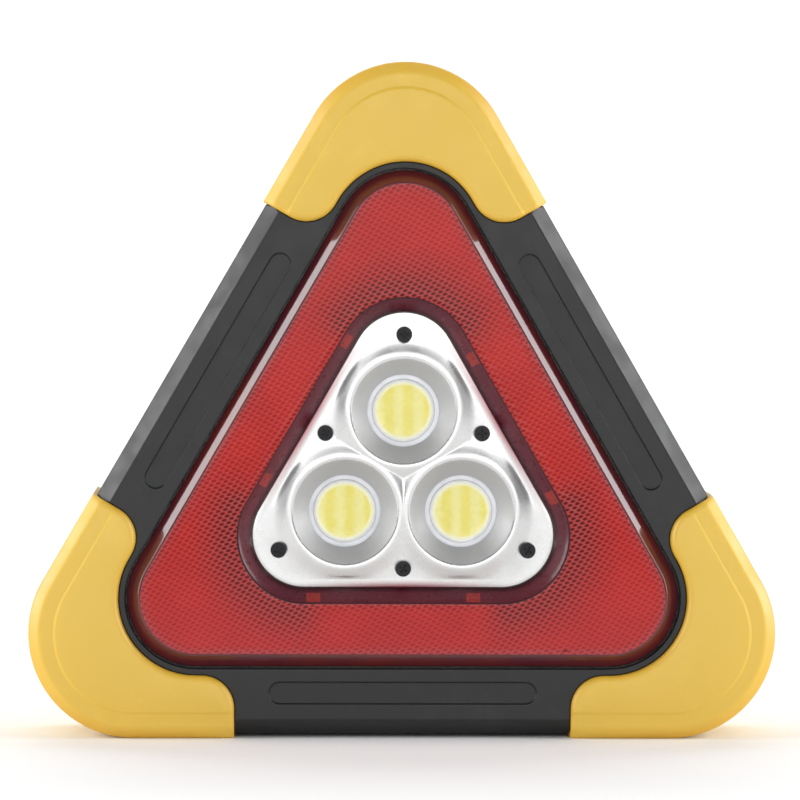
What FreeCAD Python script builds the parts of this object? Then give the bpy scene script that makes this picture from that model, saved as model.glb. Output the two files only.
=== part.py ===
import FreeCAD, Part
import math
import os
import re

import Sketcher
from FreeCAD import Placement, Rotation, Vector

# A triangular warning and work light: a black casing with yellow corner bumpers, a red ring lens and
# three white lamps, standing on one side of the triangle. +X is right, -Y is the front and +Z is up.
# The origin is at the middle of the surface it stands on. Depths are counted back from the foremost face.

SIZES = {
    # The whole object, a triangle with round corners: sides are measured from its centre
    "overall_depth": 36.0,
    "bumper_side": 69.5,
    "bumper_corner": 28.0,
    # Casing, made of a front bezel and a rear cover
    "case_side": 68.5,
    "case_corner": 27.0,
    "case_front": 2.0,
    "case_parting": 20.0,
    "case_rear": 35.2,
    "side_wall": 2.6,
    "shoulder_width": 1.5,
    "face_wall": 2.2,
    "edge_width": 4.0,
    "edge_depth": 3.5,
    "rear_edge": 1.5,
    "lip_height": 1.5,
    "lip_wall": 0.8,
    "lip_root": 0.5,
    "slot_side": 57.3,
    "slot_width": 5.8,
    "slot_length": 71.5,
    "slot_depth": 0.8,
    "fit_gap": 0.1,
    "moving_gap": 0.35,
    "small_boss": 2.5,
    "outside": 12.0,
    # Corner bumpers
    "bumper_end": 45.0,
    "bumper_wall": 1.8,
    "bumper_plate": 2.5,
    "bumper_offset": 2.3,
    "bumper_end_arc": 8.8,
    "bumper_band": 4.0,
    "bumper_step": 0.5,
    "plateau_root": 0.2,
    "bumper_edge_width": 2.9,
    "bumper_edge_depth": 2.5,
    # Red ring lens
    "lens_front": 0.6,
    "lens_side": 50.3,
    "lens_corner": 18.4,
    "lens_bevel_width": 3.3,
    "lens_bevel_depth": 3.0,
    "lens_plate": 2.0,
    "lens_gap": 0.5,
    "flange_width": 3.2,
    "flange_front": 4.25,
    "flange_back": 5.9,
    "skirt_wall": 1.8,
    "well_side": 33.0,
    "well_corner": 17.8,
    "well_slope": 3.9,
    "ledge_width": 1.8,
    "ledge_back": 8.5,
    # Lamp reflector: a flat panel with three cups that stand up as round rims
    "panel_front": 5.5,
    "panel_back": 7.0,
    "panel_side": 29.2,
    "panel_corner": 14.0,
    "lamp_ring": 18.0,
    "rim_front": 4.3,
    "rim_radius": 15.4,
    "flare_radius": 19.6,
    "dish_radius": 14.3,
    "dish_curve": 9.0,
    "throat_front": 8.0,
    "throat_back": 9.0,
    "throat_radius": 9.7,
    "throat_wall": 1.3,
    "cup_lean": 0.8,
    "dish_overrun": 0.5,
    # Lamps, each a round board with a dam ring full of phosphor
    "lamp_board_radius": 11.0,
    "lamp_board_front": 9.1,
    "dam_front": 8.3,
    "dam_radius": 8.5,
    "phosphor_front": 8.5,
    "phosphor_radius": 7.2,
    # Heat sink plate and the six screws that hold the panel to it
    "plate_front": 10.2,
    "plate_back": 11.7,
    "plate_side": 34.0,
    "plate_corner": 18.8,
    "outer_screw_ring": 38.5,
    "inner_screw_ring": 24.2,
    "panel_screw_head": 2.1,
    "panel_screw_proud": 1.1,
    "panel_screw_core": 0.88,
    "panel_screw_tip": 12.0,
    "panel_boss": 2.5,
    "panel_boss_root": 0.5,
    "panel_cross_floor": 0.3,
    # Ring board with the red LEDs
    "led_board_front": 12.5,
    "led_board_back": 14.1,
    "led_board_side": 52.0,
    "led_board_corner": 20.1,
    "led_board_hole": 35.0,
    "led_board_hole_corner": 19.6,
    "led_side": 41.5,
    "led_pitch": 11.0,
    "led_length": 3.5,
    "led_width": 2.8,
    "led_rise": 1.9,
    "ear_ring": 91.0,
    "ear_radius": 3.5,
    "ear_boss_inset": 0.5,
    "ear_root": 2.0,
    # Screws of the casing
    "corner_screw_ring": 99.0,
    "side_screw_side": 60.0,
    "side_screw_shift": 16.0,
    "boss_radius": 3.5,
    "boss_joint": 22.0,
    "pilot_radius": 1.25,
    "pilot_slack": 0.02,
    "clear_radius": 1.6,
    "case_screw_tip": 14.0,
    "case_screw_head": 2.8,
    "case_screw_head_height": 2.0,
    "case_screw_seat": 31.5,
    "seat_floor": 1.5,
    "seat_wall": 0.7,
    "head_gap": 0.2,
    "corner_screw_head": 3.0,
    "countersink_land": 0.2,
    "countersink_gap": 0.1,
    "case_cross_span": 3.4,
    "case_cross_depth": 1.1,
    "small_head": 2.1,
    "small_head_height": 1.2,
    "small_core": 0.8,
    "small_clear": 1.1,
    "cross_span": 2.4,
    "cross_slot": 0.6,
    "cross_depth": 0.7,
    "tip_room": 0.5,
    # Stand, a bail that folds into a groove in the rear cover
    "pivot_rise": 48.5,
    "pivot_depth": 32.8,
    "pivot_radius": 1.5,
    "pivot_length": 1.8,
    "pivot_play": 0.05,
    "pivot_end_gap": 0.5,
    "stand_half_top": 30.0,
    "stand_half_foot": 42.0,
    "stand_foot_drop": 51.0,
    "stand_width": 6.6,
    "stand_thickness": 4.4,
    "eye_slack": 0.02,
    "foot_bend_share": 0.75,
    "groove_depth": 5.0,
    "groove_wall": 2.2,
    "groove_top": 5.0,
    "pivot_room": 0.9,
    "pivot_pocket": 7.8,
    "pivot_headroom": 2.8,
    "finger_width": 18.0,
    "finger_drop": 3.0,
    # Battery: two cells of the 18650 size in a holder
    "cell_radius": 9.2,
    "cell_length": 65.0,
    "cell_spread": 9.4,
    "cell_depth": 21.6,
    "cell_low": 28.5,
    "cell_cap_radius": 3.0,
    "cell_cap_rise": 0.8,
    "cell_cap_root": 0.2,
    "cell_edge": 0.8,
    "cell_gap": 0.4,
    "holder_front": 21.0,
    "holder_end_front": 16.0,
    "holder_floor": 31.2,
    "holder_back": 32.7,
    "holder_wall": 1.2,
    "contact_room": 0.8,
    "contact_thickness": 0.4,
    "contact_size": 9.0,
    "holder_ear_reach": 24.5,
    "holder_ear_end": 3.0,
    "holder_ear_width": 6.0,
    "holder_screw_bite": 4.5,
    "holder_ear_front": 26.4,
    "holder_ear_back": 28.0,
    # Main board with its sockets, switch and lights
    "control_drop": 37.6,
    "board_front": 19.5,
    "board_back": 21.1,
    "board_length": 75.0,
    "board_height": 13.0,
    "board_screw_reach": 34.5,
    "board_screw_bite": 5.5,
    "button_shift": 22.0,
    "button_radius": 5.8,
    "button_front": 32.1,
    "button_flange": 6.8,
    "button_flange_back": 32.8,
    "button_back": 35.7,
    "button_stem": 2.5,
    "button_edge": 0.6,
    "button_gap": 0.3,
    "switch_size": 6.0,
    "switch_back": 24.7,
    "switch_hole": 23.0,
    "plunger_radius": 1.6,
    "plunger_front": 23.9,
    "plunger_back": 25.6,
    "usb_shift": 16.2,
    "usb_width": 13.2,
    "usb_height": 5.8,
    "micro_shift": 27.8,
    "micro_width": 7.6,
    "micro_height": 2.9,
    "socket_back": 33.2,
    "socket_shell": 0.4,
    "socket_base": 1.5,
    "socket_gap": 0.4,
    "tongue_front": 1.0,
    "tongue_recess": 2.0,
    "tongue_shift": 0.15,
    "tongue_width": 0.8,
    "usb_tongue": 0.32,
    "micro_tongue": 0.25,
    "cover_left": 9.3,
    "cover_right": 32.7,
    "cover_height": 10.0,
    "cover_front": 33.6,
    "cover_back": 35.1,
    "cover_floor": 31.6,
    "cover_gap": 0.3,
    "cover_frame": 2.0,
    "cover_corner": 1.5,
    "nail_width": 12.0,
    "nail_height": 5.0,
    "anchor_left": 5.6,
    "anchor_right": 8.4,
    "anchor_height": 5.0,
    "anchor_gap": 0.2,
    "anchor_web": 0.5,
    "anchor_peg": 1.2,
    "light_shift": 5.0,
    "light_pitch": 3.2,
    "light_radius": 0.95,
    "light_front": 22.6,
    "light_bar_front": 1.0,
    "light_bar_thickness": 1.5,
    "light_bar_height": 2.4,
    "light_bar_end": 1.5,
    "charge_led_length": 1.6,
    "charge_led_width": 0.9,
    "charge_led_rise": 0.8,
    # Wires inside the casing
    "wire_radius": 0.6,
}

doc = FreeCAD.newDocument("WarningTriangle")
sheet = doc.addObject("Spreadsheet::Sheet", "Dims")
for row, (word, size) in enumerate(SIZES.items(), start=1):
    sheet.set(f"A{row}", str(size))
    sheet.setAlias(f"A{row}", word)
doc.recompute()

parts = []


# Formulas and sketches

def formula(text):
    """The expression for a size: each word that names a cell of the sheet gets the sheet's name."""
    return re.sub(r"[a-z_]+", lambda word: f"Dims.{word[0]}" if word[0] in SIZES else word[0], text)


def number(text):
    return float(sheet.evalExpression(text))


def origin_plane(body, role):
    return next(item for item in body.Origin.OriginFeatures if item.Role == role)


def new_body(label, turn=0.0):
    """A body whose own origin is the triangle's centre, turned about the depth axis."""
    body = doc.addObject("PartDesign::Body", label)
    body.Label = label
    body.AllowCompound = True
    body.Placement = Placement(Vector(), Rotation(Vector(0, 1, 0), turn))
    body.setExpression("Placement.Base.z", formula("bumper_side"))
    parts.append(body)
    return body


def new_sketch(body, role, offset):
    sketch = body.newObject("Sketcher::SketchObject", "Outline")
    sketch.AttachmentSupport = (origin_plane(body, role), [""])
    sketch.MapMode = "FlatFace"
    sketch.setExpression("AttachmentOffset.Base.z", formula(offset))
    return sketch


def bind(sketch, kind, *target):
    """Adds a constraint whose size follows the formula that ends the call."""
    *place, size = target
    index = sketch.addConstraint(Sketcher.Constraint(kind, *place, number(size)))
    sketch.setExpression(f"Constraints[{index}]", formula(size))


def place(sketch, geometry, position, x, y):
    bind(sketch, "DistanceX", -1, 1, geometry, position, x)
    bind(sketch, "DistanceY", -1, 1, geometry, position, y)


def triangle(side, corner):
    """Draws a triangle with round corners about the sketch's origin, one corner up."""
    def draw(sketch):
        radius = number(corner)
        reach = 2 * (number(side) - radius)
        arcs = []
        for turn in (90, 210, 330):
            angle = math.radians(turn)
            centre = Vector(reach * math.cos(angle), reach * math.sin(angle), 0)
            circle_at = Part.Circle(centre, Vector(0, 0, 1), radius)
            third = math.pi / 3
            arcs.append(sketch.addGeometry(Part.ArcOfCircle(circle_at, angle - third, angle + third)))
        for arc, following in zip(arcs, arcs[1:] + arcs[:1]):
            line = Part.LineSegment(sketch.getPoint(arc, 2), sketch.getPoint(following, 1))
            side_line = sketch.addGeometry(line)
            sketch.addConstraint(Sketcher.Constraint("Tangent", arc, 2, side_line, 1))
            sketch.addConstraint(Sketcher.Constraint("Tangent", side_line, 2, following, 1))
        top, left, right = arcs
        sketch.addConstraint(Sketcher.Constraint("Equal", top, left))
        sketch.addConstraint(Sketcher.Constraint("Equal", top, right))
        sketch.addConstraint(Sketcher.Constraint("PointOnObject", top, 3, -2))
        sketch.addConstraint(Sketcher.Constraint("Symmetric", left, 3, right, 3, -2))
        bind(sketch, "Radius", top, corner)
        bind(sketch, "DistanceY", -1, 1, top, 3, f"2 * ({side} - ({corner}))")
        bind(sketch, "DistanceY", left, 3, -1, 1, f"{side} - ({corner})")
        bind(sketch, "DistanceX", left, 3, right, 3, f"2 * sqrt(3) * ({side} - ({corner}))")
    return draw


def circle(x, y, radius):
    def draw(sketch):
        centre = Vector(number(x), number(y), 0)
        ring = sketch.addGeometry(Part.Circle(centre, Vector(0, 0, 1), number(radius)))
        place(sketch, ring, 3, x, y)
        bind(sketch, "Radius", ring, radius)
    return draw


def outline(*corners):
    """Draws a closed outline. A corner is (x, y), or (x, y, radius) where an arc leads to the next
    corner; the arc turns left, or right where its radius has a minus sign."""
    def draw(sketch):
        spots = [Vector(number(corner[0]), number(corner[1]), 0) for corner in corners]
        edges = []
        for corner, here, there in zip(corners, spots, spots[1:] + spots[:1]):
            if len(corner) == 2:
                edges.append((sketch.addGeometry(Part.LineSegment(here, there)), 1, 2))
                continue
            half = (there - here) * 0.5
            radius = number(corner[2])
            rise = math.sqrt(radius * radius - half.Length ** 2)
            leftwards = Vector(-half.y, half.x, 0).normalize()
            centre = here + half + leftwards * math.copysign(rise, radius)
            first, last = (here, there) if radius > 0 else (there, here)
            start = math.atan2(first.y - centre.y, first.x - centre.x)
            end = math.atan2(last.y - centre.y, last.x - centre.x)
            arc = Part.ArcOfCircle(Part.Circle(centre, Vector(0, 0, 1), abs(radius)), start, end)
            positions = (1, 2) if radius > 0 else (2, 1)
            edges.append((sketch.addGeometry(arc), *positions))
            bind(sketch, "Radius", edges[-1][0], corner[2].lstrip("-"))
        for edge, following in zip(edges, edges[1:] + edges[:1]):
            sketch.addConstraint(Sketcher.Constraint("Coincident", edge[0], edge[2], *following[:2]))
        for edge, corner in zip(edges, corners):
            place(sketch, edge[0], edge[1], corner[0], corner[1])
    return draw


def rectangle(x, y, width, height):
    left, right = f"{x} - ({width}) / 2", f"{x} + ({width}) / 2"
    low, high = f"{y} - ({height}) / 2", f"{y} + ({height}) / 2"
    return outline((left, low), (right, low), (right, high), (left, high))


def obround(x, y, length, width):
    """Draws a level slot with round ends."""
    low, high = f"{y} - ({width}) / 2", f"{y} + ({width}) / 2"
    reach = f"(({length}) - ({width})) / 2"
    bend = f"({width}) / 2 + 0.0001"
    left, right = f"{x} - {reach}", f"{x} + {reach}"
    return outline((left, low), (right, low, bend), (right, high), (left, high, bend))


def together(*drawings):
    """Draws several outlines in one sketch: an outline inside another one is a hole."""
    def draw(sketch):
        for drawing in drawings:
            drawing(sketch)
    return draw


def ring(side, corner, width):
    return together(triangle(side, corner), triangle(f"{side} - {width}", f"{corner} - {width}"))


def spot(across, along):
    """The place at a distance across from the centre to the right-hand side of the triangle, and at a
    distance along that side from its middle towards the top corner."""
    x = f"({across}) * cos(30) - ({along}) * sin(30)"
    y = f"({across}) * sin(30) + ({along}) * cos(30)"
    return x, y


def mirrored(point):
    return f"-({point[0]})", point[1]


# Features

def slab(body, draw, front, back, taper=None):
    """A solid between two depths. A taper widens it towards the back, or narrows it with a minus sign."""
    sketch = new_sketch(body, "XZ_Plane", f"overall_depth / 2 - ({front})")
    draw(sketch)
    pad = body.newObject("PartDesign::Pad", "Slab")
    pad.Profile = sketch
    pad.Reversed = True
    pad.setExpression("Length", formula(f"{back} - ({front})"))
    if taper:
        pad.setExpression("TaperAngle", formula(taper))
    body.Tip = pad
    doc.recompute()
    return pad


def cut(body, draw, front, back, taper=None):
    """Removes what lies inside an outline between two depths."""
    before = body.Shape.Volume
    sketch = new_sketch(body, "XZ_Plane", f"overall_depth / 2 - ({front})")
    draw(sketch)
    pocket = body.newObject("PartDesign::Pocket", "Cut")
    pocket.Profile = sketch
    pocket.setExpression("Length", formula(f"{back} - ({front})"))
    if taper:
        pocket.setExpression("TaperAngle", formula(taper))
    body.Tip = pocket
    doc.recompute()
    if before - body.Shape.Volume < 0.01:
        raise RuntimeError(f"{body.Label}: {pocket.Name} removes nothing")
    return pocket


def column(body, draw, low, high):
    """A solid between two heights above the triangle's centre, from an outline seen from above."""
    sketch = new_sketch(body, "XY_Plane", low)
    draw(sketch)
    pad = body.newObject("PartDesign::Pad", "Column")
    pad.Profile = sketch
    pad.setExpression("Length", formula(f"{high} - ({low})"))
    body.Tip = pad
    doc.recompute()
    return pad


def crossbar(body, draw, left, right):
    """A solid along X between two places, from an outline seen from the side."""
    sketch = new_sketch(body, "YZ_Plane", left)
    draw(sketch)
    pad = body.newObject("PartDesign::Pad", "Crossbar")
    pad.Profile = sketch
    pad.setExpression("Length", formula(f"{right} - ({left})"))
    body.Tip = pad
    doc.recompute()
    return pad


def bore_across(body, draw, left, right):
    """Removes a length along X between two places."""
    before = body.Shape.Volume
    sketch = new_sketch(body, "YZ_Plane", right)
    draw(sketch)
    pocket = body.newObject("PartDesign::Pocket", "Bore")
    pocket.Profile = sketch
    pocket.setExpression("Length", formula(f"{right} - ({left})"))
    body.Tip = pocket
    doc.recompute()
    if before - body.Shape.Volume < 0.01:
        raise RuntimeError(f"{body.Label}: {pocket.Name} removes nothing")
    return pocket


def on_each_side(body, *features):
    """Repeats features at the triangle's other two sides or corners."""
    pattern = body.newObject("PartDesign::PolarPattern", "OnEachSide")
    pattern.Originals = list(features)
    pattern.Axis = (origin_plane(body, "Y_Axis"), [""])
    pattern.Angle = 360
    pattern.Occurrences = 3
    body.Tip = pattern
    doc.recompute()
    return pattern


def round_edges(body, kind, size, wanted):
    """Fillets or chamfers the edges of the body's last feature that pass the test."""
    last = body.Tip
    names = [f"Edge{at}" for at, edge in enumerate(last.Shape.Edges, start=1) if wanted(edge)]
    if not names:
        raise RuntimeError(f"{body.Label}: no edges to round")
    feature = body.newObject(f"PartDesign::{kind}", kind)
    feature.Base = (last, names)
    feature.setExpression("Radius" if kind == "Fillet" else "Size", formula(size))
    body.Tip = feature
    doc.recompute()
    return feature


def at_depth(edge, text):
    """True for an edge that lies wholly at one depth."""
    box = edge.BoundBox
    y = number(f"{text} - overall_depth / 2")
    return abs(box.YMin - y) < 0.001 and abs(box.YMax - y) < 0.001


# Outlines of the top corner, which patterns and turned bodies carry to the other two

def bumper_inner_edge(grow):
    """The right half of the bumper's inner edge, from the end of its arc about the lens to its outer
    end: the corners of an outline, with the radii of its arcs."""
    inner = f"lens_side + bumper_offset - {grow}"
    end = f"bumper_end - {grow}"
    arc = f"(bumper_end_arc + {grow})"
    lens_arc_end = "sqrt(3) * (lens_side - lens_corner)"
    return (
        spot(inner, lens_arc_end),
        (*spot(inner, f"{end} + {arc}"), f"{arc}"),
        spot(f"{inner} + {arc}", end),
        spot("case_side + outside", end),
    )


def bumper_hole(grow):
    """All of the triangle that the top bumper leaves free."""
    right = bumper_inner_edge(grow)
    left = [mirrored(point) for point in right]
    lens_arc = f"-(lens_corner + bumper_offset - {grow})"
    height = spot("case_side + outside", f"bumper_end - {grow}")[1]
    return outline(
        (*left[0], lens_arc),
        *right,
        ("2 * case_side", height),
        ("2 * case_side", "-2 * case_side"),
        ("-2 * case_side", "-2 * case_side"),
        ("-2 * case_side", height),
        left[3],
        (*left[2], f"(bumper_end_arc + {grow})"),
        left[1],
    )


def bumper_seat(grow):
    """All that the top bumper covers, seen from the front, and more outside it."""
    right = bumper_inner_edge(grow)
    left = [mirrored(point) for point in right]
    return outline(
        (*left[0], f"-(lens_corner + bumper_offset - {grow})"),
        *right,
        ("0", "3 * case_side"),
        left[3],
        (*left[2], f"(bumper_end_arc + {grow})"),
        left[1],
    )


def corner_rim(side, corner, end):
    """What lies outside a round-cornered triangle at its top corner."""
    arc_end = f"sqrt(3) * ({side} - ({corner}))"
    right = [spot(side, end), spot(f"{side} + outside", end)]
    left = [mirrored(point) for point in right]
    right_arc_end = spot(side, arc_end)
    return outline(
        right[0],
        right[1],
        ("0", f"2 * ({side} + outside)"),
        left[1],
        left[0],
        (*mirrored(right_arc_end), f"-({corner})"),
        right_arc_end,
    )


# Casing

def casing_bosses(body, front, back):
    """Bosses for the case screws, one at each corner and one at each side."""
    corner = slab(body, circle("0", "corner_screw_ring", "boss_radius"), front, back)
    side = slab(body, circle(*side_screw_spot(), "boss_radius"), front, back)
    return on_each_side(body, corner, side)


def side_screw_spot():
    return spot("side_screw_side", "side_screw_shift")


def make_front_bezel():
    body = new_body("front_bezel")
    edge_back = "case_front + edge_depth"
    face_outline = triangle("case_side - edge_width", "case_corner - edge_width")
    slab(body, face_outline, "case_front", edge_back, "atan(edge_width / edge_depth)")
    slab(body, triangle("case_side", "case_corner"), edge_back, "case_parting")
    shoulder = "side_wall + shoulder_width"
    cavity_front = "case_front + face_wall"
    narrow = triangle(f"case_side - ({shoulder})", f"case_corner - ({shoulder})")
    cut(body, narrow, cavity_front, "case_parting")
    wide = triangle("case_side - side_wall", "case_corner - side_wall")
    cut(body, wide, "case_front + 2 * face_wall", "case_parting")
    opening = triangle("lens_side + lens_gap", "lens_corner + lens_gap")
    cut(body, opening, "case_front", cavity_front)
    rebate = triangle("case_side - side_wall + lip_wall + fit_gap", "case_corner - side_wall + lip_wall")
    cut(body, rebate, "case_parting - lip_height - fit_gap", "case_parting")
    slot = cut(body, obround("0", "-slot_side", "slot_length", "slot_width"), "case_front",
               "case_front + slot_depth")
    seat = cut(body, bumper_seat("fit_gap"), "case_front", "bumper_plate + fit_gap")
    rim = cut(body, corner_rim("bumper_side - bumper_wall - fit_gap",
                               "bumper_corner - bumper_wall - fit_gap", "bumper_end - fit_gap"),
              "case_front", "case_parting")
    on_each_side(body, slot, seat, rim)
    casing_bosses(body, "case_front + face_wall / 2", "boss_joint")
    pilot = cut(body, circle("0", "corner_screw_ring", "pilot_radius"), "case_front + 2 * face_wall",
                "boss_joint")
    side_pilot = cut(body, circle(*side_screw_spot(), "pilot_radius"), "case_front + 2 * face_wall",
                     "boss_joint")
    on_each_side(body, pilot, side_pilot)
    ear_boss = slab(body, circle("0", "ear_ring", "ear_radius - ear_boss_inset"),
                    "case_front + face_wall / 2", "led_board_front")
    ear_pilot = cut(body, circle("0", "ear_ring", "small_core + pilot_slack"), "case_front + 2 * face_wall",
                    "led_board_front")
    on_each_side(body, ear_boss, ear_pilot)


def stand_path(grow, top):
    """The bail's outline grown all round by some clearance: two arms that spread from the pivot to the
    foot, joined at the foot. It reaches the height given as top."""
    spread = "(stand_half_foot - stand_half_top) / (pivot_rise + stand_foot_drop)"
    half = f"(stand_width / 2 + {grow})"

    def arm(shift, height):
        return f"stand_half_top + {spread} * (pivot_rise - ({height})) + {shift}"
    foot_low = f"-stand_foot_drop - {half}"
    foot_high = f"-stand_foot_drop + {half}"
    right = [
        (arm(half, top), top),
        (arm(f"-{half}", top), top),
        (arm(f"-{half}", foot_high), foot_high),
        (arm(half, foot_low), foot_low),
    ]
    left = [mirrored(point) for point in right]
    return outline(right[0], right[1], right[2], left[2], left[1], left[0], left[3], right[3])


def pivot_circle(radius):
    return circle("pivot_depth - overall_depth / 2", "pivot_rise", radius)


HOLDER_MIDDLE = "(cell_length / 2 - cell_low)"
USB_MIDDLE = "(cover_left + cover_right) / 2"
LIGHTS = [f"{step} * light_pitch - light_shift" for step in ("-1.5", "-0.5", "0.5", "1.5")]


def make_rear_cover():
    body = new_body("rear_cover")
    inside_back = "case_rear - face_wall / 2"
    edge_front = "case_rear - rear_edge"
    slab(body, triangle("case_side", "case_corner"), "case_parting", edge_front)
    slab(body, triangle("case_side", "case_corner"), edge_front, "case_rear", "-45")
    cut(body, triangle("case_side - side_wall", "case_corner - side_wall"), "case_parting",
        "case_rear - face_wall")
    lip = ring("case_side - side_wall + lip_wall", "case_corner - side_wall + lip_wall", "lip_wall")
    slab(body, lip, "case_parting - lip_height", "case_parting + lip_root")
    casing_bosses(body, "boss_joint + fit_gap", inside_back)
    wide_boss = slab(body, circle(*side_screw_spot(), "boss_radius + seat_wall"),
                     "case_screw_seat - seat_floor", inside_back)
    on_each_side(body, wide_boss)
    for side in ("-1", "1"):
        board_boss = circle(f"{side} * board_screw_reach", "-control_drop", "small_boss")
        slab(body, board_boss, "board_back + fit_gap", inside_back)
        holder_boss = circle(f"{side} * holder_ear_reach", HOLDER_MIDDLE, "small_boss")
        slab(body, holder_boss, "holder_ear_back + fit_gap", inside_back)
    slab(body, stand_path("moving_gap + groove_wall", "pivot_rise + groove_top"),
         "case_rear - groove_depth - groove_wall", inside_back)
    socket_floor = rectangle(USB_MIDDLE, "-control_drop", "cover_right - cover_left + 2 * cover_frame",
                             "cover_height + 2 * cover_frame")
    slab(body, socket_floor, "cover_floor", inside_back)

    groove_floor = "case_rear - groove_depth"
    cut(body, stand_path("moving_gap", "pivot_rise + pivot_headroom"), groove_floor, "case_rear")
    for side in ("-1", "1"):
        pocket = rectangle(f"{side} * stand_half_top", "pivot_rise + pivot_headroom - pivot_pocket / 2",
                           "stand_width + 2 * pivot_room", "pivot_pocket")
        cut(body, pocket, groove_floor, "case_rear")
    finger = obround("0", "-stand_foot_drop - stand_width / 2 - moving_gap", "finger_width",
                     "2 * finger_drop")
    cut(body, finger, groove_floor, "case_rear")
    hinge_reach = "stand_half_top + stand_width / 2 + pivot_length + pivot_end_gap"
    bore_across(body, pivot_circle("pivot_radius + pivot_play"), f"-({hinge_reach})", hinge_reach)

    cut(body, circle("-button_shift", "-control_drop", "button_radius + button_gap"),
        "case_rear - face_wall", "case_rear")
    lights = [circle(x, "-control_drop", "light_radius + fit_gap") for x in LIGHTS]
    cut(body, together(*lights), "case_rear - face_wall", "case_rear")
    flap_seat = rectangle(USB_MIDDLE, "-control_drop", "cover_right - cover_left + 2 * cover_gap",
                          "cover_height + 2 * cover_gap")
    cut(body, flap_seat, "cover_front - fit_gap", "case_rear")
    anchor_seat = rectangle("(anchor_left + cover_left) / 2", "-control_drop",
                            "cover_left - anchor_left + 2 * anchor_gap", "anchor_height + 2 * anchor_gap")
    cut(body, anchor_seat, "cover_front - fit_gap", "case_rear")
    nail_notch = obround(USB_MIDDLE, "cover_height / 2 - control_drop", "nail_width", "nail_height")
    cut(body, nail_notch, "cover_front - fit_gap", "case_rear")
    sockets = together(
        rectangle("usb_shift", "-control_drop", "usb_width + 2 * socket_gap",
                  "usb_height + 2 * socket_gap"),
        rectangle("micro_shift", "-control_drop", "micro_width + 2 * socket_gap",
                  "micro_height + 2 * socket_gap"),
        circle("(anchor_left + anchor_right) / 2", "-control_drop", "anchor_peg + fit_gap"),
    )
    cut(body, sockets, "cover_floor - fit_gap", "cover_front")

    seat = cut(body, bumper_seat("fit_gap"), "overall_depth - bumper_wall - fit_gap", "overall_depth")
    rim = cut(body, corner_rim("bumper_side - bumper_wall - fit_gap",
                               "bumper_corner - bumper_wall - fit_gap", "bumper_end - fit_gap"),
              "case_parting", "case_rear")
    corner_hole = cut(body, circle("0", "corner_screw_ring", "clear_radius"), "boss_joint",
                      "overall_depth")
    side_hole = cut(body, circle(*side_screw_spot(), "clear_radius"), "boss_joint", "case_rear")
    head_hole = cut(body, circle(*side_screw_spot(), "case_screw_head + head_gap"), "case_screw_seat",
                    "case_rear")
    on_each_side(body, seat, rim, corner_hole, side_hole, head_hole)
    for side in ("-1", "1"):
        cut(body, circle(f"{side} * board_screw_reach", "-control_drop", "small_core + pilot_slack"),
            "board_back", "board_back + board_screw_bite + tip_room")
        cut(body, circle(f"{side} * holder_ear_reach", HOLDER_MIDDLE, "small_core + pilot_slack"),
            "holder_ear_back", "holder_ear_back + holder_screw_bite + tip_room")


def make_corner_bumper(place_name, turn):
    """A yellow guard that slides over a corner of the casing: a raised plateau inside a lower band."""
    body = new_body(f"corner_bumper_{place_name}", turn)
    edge_back = "bumper_step + bumper_edge_depth"
    edge = triangle("bumper_side - bumper_edge_width", "bumper_corner - bumper_edge_width")
    slab(body, edge, "bumper_step", edge_back, "atan(bumper_edge_width / bumper_edge_depth)")
    rear_edge = "overall_depth - bumper_edge_depth"
    slab(body, triangle("bumper_side", "bumper_corner"), edge_back, rear_edge)
    slab(body, triangle("bumper_side", "bumper_corner"), rear_edge, "overall_depth",
         "-atan(bumper_edge_width / bumper_edge_depth)")
    inset = "(bumper_edge_width + bumper_band)"
    slab(body, triangle(f"bumper_side - {inset}", f"bumper_corner - {inset}"), "0",
         "bumper_step + plateau_root")
    cut(body, bumper_hole("0"), "0", "overall_depth")
    cut(body, triangle("bumper_side - bumper_wall", "bumper_corner - bumper_wall"), "bumper_plate",
        "overall_depth - bumper_wall")
    cut(body, circle("0", "corner_screw_ring", "clear_radius"), "overall_depth - bumper_wall",
        "overall_depth")
    cut(body, circle("0", "corner_screw_ring", "clear_radius"),
        "overall_depth - bumper_wall + countersink_land", "overall_depth",
        "atan((corner_screw_head + countersink_gap - clear_radius) / (bumper_wall - countersink_land))")


# Lens and lamp

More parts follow.
